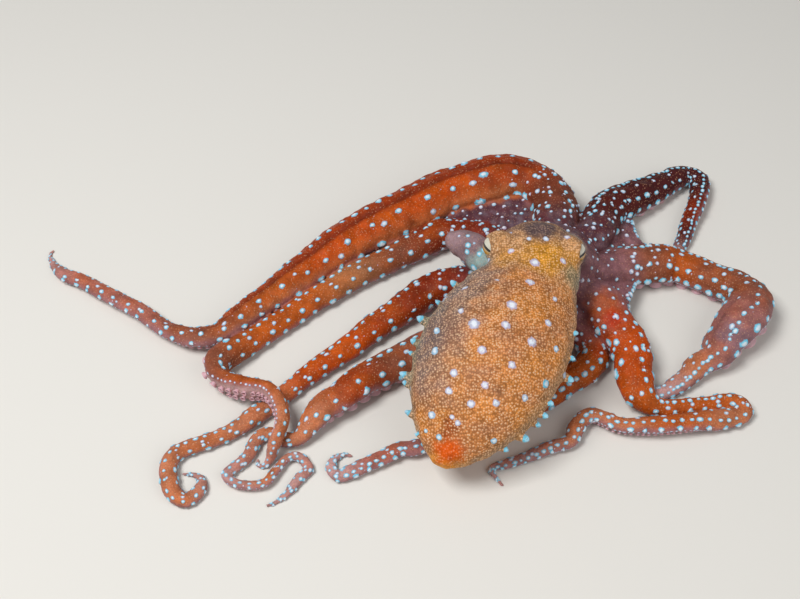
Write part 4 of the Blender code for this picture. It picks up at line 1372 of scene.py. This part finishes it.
# Painted shade darkens the groove
arm_colour = lay(arm_colour, GROOVE_PAINTED_SHADE, GROOVE_SHADE_SHARE * on_it * groove_shade)
arm_colour = lay(arm_colour, PALE_ORANGE, PALE_SHARE * on_it * eased(turn, *PALE_FROM))
print("points of the grooved arm:", (on_it > 0).sum())

# %% [markdown]
# Mauve climbs up the sides of an arm, lower at its root and higher at its tip, with a wavy edge. Where
# the second left arm curls, its turned sole shows, so there the mauve is kept low. Soles are rose.

# %% Sides and soles
SIDE_MAUVE = "#9c6e72"
SOLE_ROSE = "#c4a09c"
MAUVE_SHARE = 0.85
# Sine of the turn up to which an arm is mauve, from root to tip, and how softly that line fades
SIDE_LINE = (-0.45, -0.3, -0.15, 0.05, 0.2, 0.3)
BELOW_LINE, ABOVE_LINE = 0.15, 0.45
CURL_LINE = -0.5
CURL = (0.58, 0.72)
SOLE_EDGE = (-0.85, -0.45)
WOBBLE_SIZE, WOBBLE = 6.0, 0.12

curl = np.where(is_second_left, eased(arm_share, *CURL), 0.0)
side = at_share(SIDE_LINE, arm_share) * (1 - curl) + CURL_LINE * curl
wobble = WOBBLE * waves(skin_points, WOBBLE_SIZE, 21)
mauve = 1 - eased(height + wobble, side - BELOW_LINE, side + ABOVE_LINE)
arm_colour = lay(arm_colour, SIDE_MAUVE, MAUVE_SHARE * mauve)
arm_colour = lay(arm_colour, SOLE_ROSE, 1 - eased(height, *SOLE_EDGE))
print("mauve share of the arms:", round(float(mauve[is_arm].mean()), 2))

# %% [markdown]
# The web is dark maroon with lilac blotches, and turns pink where the right arms leave it.

# %% Web
WEB_LILAC = "#766670"
ROOT_PINK = "#94666a"
LILAC_SHARE = 0.8
SMALL_BLOTCH, LARGE_BLOTCH = 3.4, 9.0
# The pink comes in over these millimetres along a line to the right and back
PINK_FROM, PINK_SLANT = (6.0, 24.0), 0.8

blotch = waves(skin_points, SMALL_BLOTCH, 11) + 0.5 * waves(skin_points, LARGE_BLOTCH, 12)
blotch = eased(blotch, -0.2, 1.0)
to_right = eased(skin_points[:, 0] - PINK_SLANT * skin_points[:, 1], *PINK_FROM)
web_colour = lay(all_over(WEB_MAROON), WEB_LILAC, LILAC_SHARE * blotch)
web_colour = lay(web_colour, ROOT_PINK, to_right * (0.5 + 0.4 * blotch))
print("lilac share of the web:", round(float(blotch[is_web].mean()), 2))

# %% [markdown]
# The mantle is sandy orange, clouded with brown, greyer on its left side and greenish along both
# flanks. The head is tan on top and pale below. The siphon is grey with dark blotches near its root.

# %% Head, mantle and siphon
SANDY = "#de8e44"
SANDY_BROWN = "#cc8450"
SANDY_GREY = "#8e7e78"
EDGE_GREEN = "#949a7e"
HEAD_TAN = "#d49c68"
SIPHON_GREY = "#967a7e"
SIPHON_DARK = "#6a5056"
LARGE_CLOUD, SMALL_CLOUD = 22.0, 8.0
# Shares of the spine over which the left side's grey ends, and over which the head turns to mantle
GREY_ENDS, HEAD_ENDS = (0.7, 0.95), (0.20, 0.34)
# Millimetres along the siphon over which its blotches end
SIPHON_BLOTCH, BLOTCHES_END = 2.2, (12.0, 28.0)

body_share, turn = distance_of / body.length, np.radians(turn_of)
slow, quick = waves(skin_points, LARGE_CLOUD, 3), waves(skin_points, SMALL_CLOUD, 4)
left = eased(np.cos(turn), -0.1, 0.85) * (1 - eased(body_share, *GREY_ENDS))
flank = eased(np.abs(np.cos(turn)), 0.86, 1.0)
head = 1 - eased(body_share + 0.012 * quick, *HEAD_ENDS)
top = eased(np.sin(turn), 0.1, 0.7)
body_colour = lay(all_over(SANDY), SANDY_BROWN, np.clip(0.45 + 0.35 * slow + 0.2 * quick, 0, 0.9))
body_colour = lay(body_colour, SANDY_GREY, np.clip(0.85 * left + 0.12 * quick, 0, 1))
body_colour = lay(body_colour, EDGE_GREEN, (0.35 + 0.25 * left) * flank)
body_colour = lay(body_colour, NECK_PALE, head * (1 - top) * 0.7)
body_colour = lay(body_colour, HEAD_TAN, head * top)
blotch = eased(waves(skin_points, SIPHON_BLOTCH, 13), -0.2, 0.8)
blotch = blotch * (1 - eased(distance_of, *BLOTCHES_END))
siphon_colour = lay(all_over(SIPHON_GREY), SIPHON_DARK, 0.85 * blotch)
print("head share of the body:", round(float(head[is_body].mean()), 2))

# %% [markdown]
# Now each point takes the colour of its part. The web's colour runs out over the arm roots, and over a
# collar where the body sinks into the crown. The patches come last.

# %% Put the colours together
ROOT_FADE = (8.0, 32.0)
# How far out of the body's section, how high in millimetres and how far along its spine the collar is
COLLAR_OUT, COLLAR_TOP, COLLAR_BACK = (1.06, 1.2), (26.0, 31.0), (0.30, 0.36)
PATCH_EDGE, EDGE_WAVE, EDGE_UNEVEN = (0.45, 1.15), 4.0, 0.16
BARE_TONES = (TIP_ORANGE, TIP_YELLOW, BROW_DARK, NECK_PALE)


def patch_share(middle, radius):
    """1 within a patch, 0 beyond it, with an uneven edge."""
    away = np.linalg.norm(skin_points - middle, axis=1) / radius
    return 1 - eased(away + EDGE_UNEVEN * waves(skin_points, EDGE_WAVE, 31), *PATCH_EDGE)


ground = np.where(is_arm[:, None], arm_colour, web_colour)
ground = mix(ground, web_colour, np.where(is_arm, 1 - eased(distance_of, *ROOT_FADE), 0.0))
collar = eased(out_of, *COLLAR_OUT) * (1 - eased(skin_points[:, 2], *COLLAR_TOP))
collar = collar * (1 - eased(body_share, *COLLAR_BACK))
ground = np.where(is_body[:, None], mix(body_colour, web_colour, collar), ground)
ground = np.where(is_siphon[:, None], siphon_colour, ground)
bare = np.zeros(len(skin_points))
for middle, radius, tone, strength in patches:
    share = strength * patch_share(middle, radius)
    ground = lay(ground, tone, share)
    if tone in BARE_TONES:
        bare = np.maximum(bare, share)
print("collar points:", (is_body & (collar > 0.5)).sum())

# %% [markdown]
# Two more numbers say where the fine marks go: the grain of the mantle, which some patches keep bare,
# and the flecks of the arms, mostly on their backs. Colours and numbers are blurred a little.

# %% Grain and flecks
BARE_TAKES = 0.7
FLECK_ON_WEB = 0.7
PAINT_BLUR = 6

on_back = eased(height, -0.1, 0.5)
grain = np.where(is_body, eased(out_of, 0.8, 0.95) * (1 - collar), 0.0) * (1 - BARE_TAKES * bare)
fleck = np.where(is_web | is_siphon, FLECK_ON_WEB, 0.0)
fleck = np.where(is_arm, on_back * (1 - 0.3 * near_crown), fleck)
for _ in range(PAINT_BLUR):
    ground, grain, fleck = (neighbours_mean(values) for values in (ground, grain, fleck))
print("grain on", (grain > 0.5).sum(), "points, flecks on", (fleck > 0.5).sum())

# %% [markdown]
# The moved points go back into the mesh, and everything that the material needs is stored on them. A
# colour attribute holds the ground, float attributes the rest.

# %% Store the skin
def on_floor(points):
    """Millimetres from the crown as metres in the frame, with nothing below the floor."""
    placed = (points + CROWN_AT) * MM
    placed[:, 2] = np.maximum(placed[:, 2], 0.0)
    return placed


def add_layers(mesh, layers):
    """Stores named numbers on the points of a mesh."""
    for label, values in layers.items():
        layer = mesh.attributes.new(label, "FLOAT", "POINT")
        layer.data.foreach_set("value", values.astype(np.float32))


skin_mesh.vertices.foreach_set("co", on_floor(skin_points).astype(np.float32).ravel())
skin_mesh.update()
colours = skin_mesh.color_attributes.new("ground", "FLOAT_COLOR", "POINT")
ground = np.hstack([ground, np.ones((len(ground), 1))])
colours.data.foreach_set("color", ground.astype(np.float32).ravel())
add_layers(skin_mesh, {"spot": inside, "warmth": warmth, "grain": grain, "fleck": fleck})
skin_mesh.shade_smooth()
skin = shown("skin", skin_mesh)
print("painted", len(ground), "points")

# %% [markdown]
# ## Materials
#
# Blender works a material out by a tree of nodes, each of which changes what the nodes before it give.
# One small function adds a node of any kind, sets its options, and sets or links its inputs, so a tree
# can be read from top to bottom like a recipe.

# %% Nodes and materials
# Some sockets share their name with others of their node, so they are told apart by number
FACTOR, FIRST, SECOND, MIXED = 0, 6, 7, 2
FROM_LOW, FROM_HIGH, TO_LOW, TO_HIGH = 1, 2, 3, 4


def add_node(tree, kind, inputs, output=0, **options):
    """Adds a node, sets its options, sets or links its inputs and returns one of its outputs."""
    made = tree.nodes.new("ShaderNode" + kind)
    for option, value in options.items():
        setattr(made, option, value)
    for socket, value in inputs.items():
        if isinstance(value, bpy.types.NodeSocket):
            tree.links.new(value, made.inputs[socket])
        else:
            made.inputs[socket].default_value = value
    return made.outputs[output]


def new_material(name, finish):
    """A named material whose shader has the given finish; returns it, its tree and its shader."""
    made = bpy.data.materials.new(name)
    made.use_nodes = True
    shader = made.node_tree.nodes["Principled BSDF"]
    for socket, value in finish.items():
        shader.inputs[socket].default_value = value
    return made, made.node_tree, shader


def rgba(code):
    """An sRGB hex value as a linear colour with full alpha."""
    return (*linear(code), 1.0)


print("materials to make: skin, suckers, eyes, paper")

# %% [markdown]
# ## The skin's finish
#
# Living skin is thin, wet and a little see-through, over flesh. Its IOR is that of soft tissue, 1.38
# to 1.40. A wet film alone would have a roughness near 0.2, but fine grain breaks the film up, so 0.5
# gives the eye a broad, soft shine with no hard glints. Light enters and comes back out about a
# millimetre away, red most of all: subsurface scattering gives that fleshy warmth.

# %% Wet skin
FLESH_GLOW = {"Subsurface Radius": (1.0, 0.45, 0.3), "Subsurface Scale": 1.0 * MM}

wet_skin, tree, shader = new_material("wet_octopus_skin", {
    "Roughness": 0.5, "IOR": 1.39, "Specular IOR Level": 0.25, "Subsurface Weight": 0.10, **FLESH_GLOW,
})
place = add_node(tree, "TexCoord", {}, "Object")
painted = add_node(tree, "Attribute", {}, "Color", attribute_name="ground")
spot, warm, grained, flecked = (
    add_node(tree, "Attribute", {}, "Fac", attribute_name=label)
    for label in ("spot", "warmth", "grain", "fleck"))
print("nodes so far:", len(tree.nodes))

# %% [markdown]
# Four noises break up what would look painted: a mottling of 5 mm and pores of 0.7 mm shade the ground
# colour, one of 2.6 mm makes some granules fainter, and one of 1.1 mm frays the edges of the spots.
# Real pores are finer, and are drawn this coarse because finer ones would not show in the render. Each
# noise is stretched from the range that it really uses to the range that is wanted.

# %% Mottle and pores
# Size in millimetres, detail, the range that is used, the range that is wanted
NOISES = {
    "mottle": (5.0, 4.0, (0.3, 0.7), (0.74, 1.24)),
    "pores": (0.7, 2.0, (0.3, 0.7), (0.84, 1.16)),
    "faint": (2.6, 1.0, (0.35, 0.65), (0.6, 0.92)),
    "frayed": (1.1, 2.0, (0.3, 0.7), (-0.16, 0.16)),
}

noise, wanted = {}, {}
for label, (size, detail, used, given) in NOISES.items():
    noise[label] = add_node(
        tree, "TexNoise", {"Vector": place, "Scale": 1 / (size * MM), "Detail": detail})
    wanted[label] = add_node(tree, "MapRange", {
        "Value": noise[label], FROM_LOW: used[0], FROM_HIGH: used[1],
        TO_LOW: given[0], TO_HIGH: given[1],
    })
shade = add_node(tree, "Math", {0: wanted["mottle"], 1: wanted["pores"]}, operation="MULTIPLY")
toned = add_node(tree, "VectorMath", {0: painted, "Scale": shade}, operation="SCALE")
print("noises:", *NOISES)

# %% [markdown]
# On the mantle, cream granules about a millimetre apart cover the ground colour, with darker skin
# between them. On the arms there are finer, sparser flecks. A Voronoi texture strews points about one
# pitch apart and gives the distance to the nearest: small distances make the grains, large ones the
# skin between. The other way, modelling each grain, would take millions of faces.

# %% Granules and flecks
GRANULE_PITCH, GRANULE_SCATTER = 0.95, 0.7
FLECK_PITCH, FLECK_SCATTER = 1.1, 1.0
GRANULE_CREAM = "#eec6a0"
GRANULE_EDGE = 0.58
FLECK_PALE = "#e4ac84"
FLECK_SHARE = 0.42

granule_cells, fleck_cells = (
    add_node(tree, "TexVoronoi", {
        "Vector": place, "Scale": 1 / (pitch * MM), "Randomness": scatter,
    }, "Distance")
    for pitch, scatter in ((GRANULE_PITCH, GRANULE_SCATTER), (FLECK_PITCH, FLECK_SCATTER)))
# Cells, distances over which the mask changes, its values there, and where the skin has it
MASKS = [
    (granule_cells, (0.18, 0.47), (1.0, 0.0), grained),
    (granule_cells, (0.44, 0.66), (0.0, 1.0), grained),
    (fleck_cells, (0.12, 0.34), (1.0, 0.0), flecked),
]
masks = []
for cells, (low, high), (at_low, at_high), where in MASKS:
    drawn = add_node(tree, "MapRange", {
        "Value": cells, FROM_LOW: low, FROM_HIGH: high, TO_LOW: at_low, TO_HIGH: at_high,
    }, interpolation_type="SMOOTHSTEP")
    masks.append(add_node(tree, "Math", {0: drawn, 1: where}, operation="MULTIPLY"))
granules, between, flecks = masks
darker = add_node(tree, "VectorMath", {0: toned, "Scale": GRANULE_EDGE}, operation="SCALE")
hollowed = add_node(
    tree, "Mix", {FACTOR: between, FIRST: toned, SECOND: darker}, MIXED, data_type="RGBA")
cover = add_node(tree, "Math", {0: granules, 1: wanted["faint"]}, operation="MULTIPLY")
with_granules = add_node(
    tree, "Mix", {FACTOR: cover, FIRST: hollowed, SECOND: rgba(GRANULE_CREAM)}, MIXED, data_type="RGBA")
thin = add_node(tree, "Math", {0: flecks, 1: FLECK_SHARE}, operation="MULTIPLY")
with_flecks = add_node(
    tree, "Mix", {FACTOR: thin, FIRST: with_granules, SECOND: rgba(FLECK_PALE)},
    MIXED, data_type="RGBA")
print("masks:", len(masks))

# %% [markdown]
# A white spot is blue at its rim, and whiter towards its middle, where it stands highest. The whiter
# middle is partly a painted highlight and the blue rim partly painted shade, over the spot's own bluish
# white. The stored number, 1 in the middle and 0 at the rim, is frayed by noise and cut off for the
# whole spot, then again further in for its core. Warm spots turn lilac. Papillae have a warmth below
# zero, which keeps them bluer.

# %% White spots
SPOT_BLUE = "#6cc4e0"
SPOT_LILAC = "#c4b2c8"
SPOT_WHITE_AND_HIGHLIGHT = "#e8eef4"

frayed = add_node(tree, "Math", {0: spot, 1: wanted["frayed"]}, operation="ADD")
# Value, its range and the range that it gives
STEPS = {
    "whole": (frayed, (-0.04, 0.20), (0.0, 1.0), "SMOOTHSTEP"),
    "core": (frayed, (0.20, 0.70), (0.0, 0.9), "SMOOTHSTEP"),
    "whiteness": (warm, (PAPILLA_COLD, 0.0), (0.35, 1.0), "LINEAR"),
}
step = {
    label: add_node(tree, "MapRange", {
        "Value": value, FROM_LOW: low, FROM_HIGH: high, TO_LOW: at_low, TO_HIGH: at_high,
    }, interpolation_type=change)
    for label, (value, (low, high), (at_low, at_high), change) in STEPS.items()
}
# The whiter core is partly a painted highlight on the raised spot
core = add_node(tree, "Math", {0: step["core"], 1: step["whiteness"]}, operation="MULTIPLY")
# The blue that shows at the rim is partly painted shade
tint = add_node(
    tree, "Mix", {FACTOR: warm, FIRST: rgba(SPOT_BLUE), SECOND: rgba(SPOT_LILAC)},
    MIXED, data_type="RGBA")
spot_colour = add_node(
    tree, "Mix", {FACTOR: core, FIRST: tint, SECOND: rgba(SPOT_WHITE_AND_HIGHLIGHT)}, MIXED, data_type="RGBA")
finished = add_node(
    tree, "Mix", {FACTOR: step["whole"], FIRST: with_flecks, SECOND: spot_colour},
    MIXED, data_type="RGBA")
tree.links.new(finished, shader.inputs["Base Color"])
print("nodes with the spots:", len(tree.nodes))

# %% [markdown]
# Granules, flecks and pores also stand out by a fraction of a millimetre. The larger shapes are real
# geometry, and only this fine grain is left to a bump. Then the skin takes the place of all flesh.

# %% Grain that catches the light
FLECK_BUMP = 0.6
GRAIN_BUMP = 0.9
BUMP_STRENGTH, BUMP_HEIGHT = 0.75, 0.3

low_flecks = add_node(tree, "Math", {0: flecks, 1: FLECK_BUMP}, operation="MULTIPLY")
raised = add_node(tree, "Math", {0: granules, 1: low_flecks}, operation="ADD")
relief = add_node(tree, "Math", {0: raised, 1: GRAIN_BUMP, 2: noise["pores"]}, operation="MULTIPLY_ADD")
bump = add_node(
    tree, "Bump", {"Strength": BUMP_STRENGTH, "Distance": BUMP_HEIGHT * MM, "Height": relief})
tree.links.new(bump, shader.inputs["Normal"])
skin.data.materials.append(wet_skin)

flesh = [n for n in frame["nodes"] if not n.startswith("eye_")]
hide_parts(*flesh)
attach(skin, "root")
print("the skin replaces", len(flesh), "nodes")

# %% [markdown]
# ## Suckers
#
# Two rows of suckers line the underside of each arm, right out to its tip. A real one is a soft cup
# on a short neck: a wide rim, a sloping funnel and a small pit. Each is the same profile turned round
# its own axis, scaled by the arm's width, and all of them are joined as one mesh.

# %% Suckers
# Radius and depth below the middle line, as shares of the arm's width
CUP = np.array([
    (0.115, 0.13), (0.125, 0.21), (0.150, 0.275), (0.180, 0.305), (0.190, 0.325), (0.182, 0.340),
    (0.160, 0.338), (0.125, 0.315), (0.090, 0.290), (0.062, 0.270), (0.055, 0.235), (0.004, 0.222),
])
SUCKER_STEP_SHARE, SUCKER_STEP_MORE = 0.205, 0.15
FIRST_SUCKER_AT, LAST_SUCKER_OFF = 20.0, 1.5
# Radii over which the rose of the cup turns to the pale of the rim, as shares of the arm's width
RIM_STARTS = (0.05, 0.15)
# Towards the tips the suckers shrink faster than the arm: down to this share, over these widths
FINE_SUCKER, FINE_WIDTHS = 0.55, (8.0, 16.0)
# How far the two rows stay apart as the suckers shrink, and how much single suckers differ in size
ROWS_KEEP = 0.3
SUCKER_SPREAD = (0.9, 1.0)
SIDES_WIDE, SIDES_NARROW, WIDE_ARM = 18, 12, 12


def sucker_rings(arm, distance, row, fine, sides):
    """The rings of one cup, from inside the arm round its rim to the bottom of the pit."""
    width, middle, along, up, across = (
        arm.read(v, distance) for v in (arm.width, arm.point, arm.along, arm.up, arm.across))
    turn = 2 * math.pi * np.arange(sides)[:, None] / sides
    around = np.cos(turn) * along + np.sin(turn) * across
    aside = SUCKER_OFFSET * width * (ROWS_KEEP + (1 - ROWS_KEEP) * fine)
    foot = middle + across * (row * aside)
    deepest = CUP[:, 1].max()
    depths = deepest - (deepest - CUP[:, 1]) * fine
    depths[0] = CUP[0, 1]
    size = width * draw.uniform(*SUCKER_SPREAD) * fine
    return foot - up * (depths * width)[:, None, None] + around * (CUP[:, 0] * size)[:, None, None]


cups, cup_rims = Pieces(), []
for arm in arms.values():
    distance, row = FIRST_SUCKER_AT, 1
    while distance < arm.length - LAST_SUCKER_OFF:
        width = arm.read(arm.width, distance)
        fine = FINE_SUCKER + (1 - FINE_SUCKER) * eased(width, *FINE_WIDTHS)
        sides = SIDES_WIDE if width > WIDE_ARM else SIDES_NARROW
        cups.loft(sucker_rings(arm, distance, row, fine, sides))
        cup_rims.append(np.repeat(eased(CUP[:, 0], *RIM_STARTS), sides))
        distance += SUCKER_STEP_MORE + SUCKER_STEP_SHARE * width * fine
        row = -row

suckers_mesh = mesh_from("suckers", on_floor(np.vstack(cups.points)), cups.faces)
add_layers(suckers_mesh, {"rim": np.concatenate(cup_rims)})
suckers_mesh.shade_smooth()
suckers = shown("suckers", suckers_mesh)
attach(suckers, "root")
print("suckers:", len(cup_rims))

# %% [markdown]
# The skin of a sucker is bare and moist, with no grain to break up the wet film: the roughness is lower
# than the skin's, and the flesh glows a little more. Rims are pale pink and the cups a deeper rose.

# %% Skin of the suckers
SUCKER_RIM_PALE = "#dcb4bc"
SUCKER_CUP_ROSE = "#aa6c78"

soft_cup, tree, shader = new_material(
    "soft_sucker_skin", {"Roughness": 0.4, "IOR": 1.39, "Subsurface Weight": 0.15, **FLESH_GLOW})
rim = add_node(tree, "Attribute", {}, "Fac", attribute_name="rim")
cup_colour = add_node(
    tree, "Mix", {FACTOR: rim, FIRST: rgba(SUCKER_CUP_ROSE), SECOND: rgba(SUCKER_RIM_PALE)},
    MIXED, data_type="RGBA")
tree.links.new(cup_colour, shader.inputs["Base Color"])
suckers.data.materials.append(soft_cup)
print("sucker faces:", len(cups.faces))

# %% [markdown]
# ## Eyes
#
# An octopus eye is a ball with a silvery to golden iris and a level, bar-shaped pupil. The ball is
# modelled finer than the solid, and each point knows how far it is from the pupil's bar, so the
# shader can draw its edge sharply.

# %% Eyeballs
EYE_RADIUS, EYE_CLEAR = 4.6, 0.05
EYE_SEGMENTS, EYE_ROWS = 72, 48
PUPIL_LONG, PUPIL_HIGH = 2.6, 0.55

eyeballs = []
for name, middle in EYES.items():
    out, ahead, above = eye_axes[name]
    ball = Pieces()
    ball.ball(middle, np.full(3, EYE_RADIUS - EYE_CLEAR), EYE_SEGMENTS, EYE_ROWS)
    points = ball.points[0]
    long, high = (points - middle) @ ahead, (points - middle) @ above
    bar = np.hypot(np.maximum(np.abs(long) - PUPIL_LONG, 0.0), high)
    mesh = mesh_from(name + "_ball", on_floor(points), ball.faces)
    add_layers(mesh, {"bar": bar / PUPIL_HIGH, "height": high / EYE_RADIUS})
    mesh.shade_smooth()
    eyeball = shown(name + "_ball", mesh)
    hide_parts(name)
    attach(eyeball, "root")
    eyeballs.append(eyeball)
print("eyeballs:", [eyeball.name for eyeball in eyeballs])

# %% [markdown]
# The front of the eye is a clear, wet cornea, IOR 1.38, as smooth as glass. A clear coat gives its one
# sharp glint, and the iris below it is duller. The pupil's edge is cut over a tenth of its height to
# either side.

# %% Glossy eye
IRIS_SILVER = "#d9d6c4"
IRIS_GOLD = "#c8952e"
PUPIL_BLACK = "#08070a"
# Heights, as shares of the ball's radius, over which silver turns to gold; edge of the pupil's bar
TURNS_GOLD = (0.15, -0.35)
PUPIL_EDGE = (0.9, 1.1)

glossy_eye, tree, shader = new_material(
    "glossy_eye", {"Roughness": 0.25, "IOR": 1.38, "Coat Weight": 1.0, "Coat Roughness": 0.04})
bar, height = (
    add_node(tree, "Attribute", {}, "Fac", attribute_name=label) for label in ("bar", "height"))
golden = add_node(
    tree, "MapRange", {"Value": height, FROM_LOW: TURNS_GOLD[0], FROM_HIGH: TURNS_GOLD[1]})
iris = add_node(
    tree, "Mix", {FACTOR: golden, FIRST: rgba(IRIS_SILVER), SECOND: rgba(IRIS_GOLD)},
    MIXED, data_type="RGBA")
off_pupil = add_node(
    tree, "MapRange", {"Value": bar, FROM_LOW: PUPIL_EDGE[0], FROM_HIGH: PUPIL_EDGE[1]})
eye_colour = add_node(
    tree, "Mix", {FACTOR: off_pupil, FIRST: rgba(PUPIL_BLACK), SECOND: iris}, MIXED, data_type="RGBA")
tree.links.new(eye_colour, shader.inputs["Base Color"])
for eyeball in eyeballs:
    eyeball.data.materials.append(glossy_eye)
print("nodes of the eye:", len(tree.nodes))

# %% [markdown]
# ## Floor and light
#
# A plain pale floor of matt studio paper, pressed from pulp, whose fibres scatter light evenly, so it
# shows soft shadows and no shine.

# %% Floor
FLOOR_SIZE = 6.0
FLOOR_DROP = 0.05
FLOOR_PALE = "#e2dfd8"

half = FLOOR_SIZE / 2
corners = [(-half, -half, 0), (half, -half, 0), (half, half, 0), (-half, half, 0)]
floor = shown("floor", mesh_from("floor", corners, [(0, 1, 2, 3)]))
floor.location.z = -FLOOR_DROP * MM
paper, tree, shader = new_material(
    "matt_studio_paper", {"Roughness": 0.9, "IOR": 1.45, "Base Color": rgba(FLOOR_PALE)})
floor.data.materials.append(paper)
print("floor", FLOOR_SIZE, "m wide")

# %% [markdown]
# Two large soft lamps, as in a small studio: a key from the upper left, where the photograph's light
# comes from, and a weaker fill from the right. The air gives back the little light that a room would.

# %% Studio light
# Place in metres, size in metres, power in watts
LAMPS = {"key": ((-0.40, -0.22, 0.92), 0.40, 8.2), "fill": ((0.6, -0.45, 0.6), 0.8, 2.2)}
AIR_PALE = "#e4e6ea"
AIR_LIGHT = 0.28

for name, (lamp_place, size, power) in LAMPS.items():
    light = bpy.data.lights.new(name, "AREA")
    light.size = size
    light.energy = power
    lamp = bpy.data.objects.new(name, light)
    lamp.location = lamp_place
    lamp.rotation_euler = (-Vector(lamp_place)).to_track_quat("-Z", "Y").to_euler()
    bpy.context.scene.collection.objects.link(lamp)
air = bpy.data.worlds.new("studio_air")
air.use_nodes = True
air.node_tree.nodes["Background"].inputs["Color"].default_value = rgba(AIR_PALE)
air.node_tree.nodes["Background"].inputs["Strength"].default_value = AIR_LIGHT
bpy.context.scene.world = air
bpy.context.scene.view_settings.view_transform = "Standard"
print("lamps:", *LAMPS)
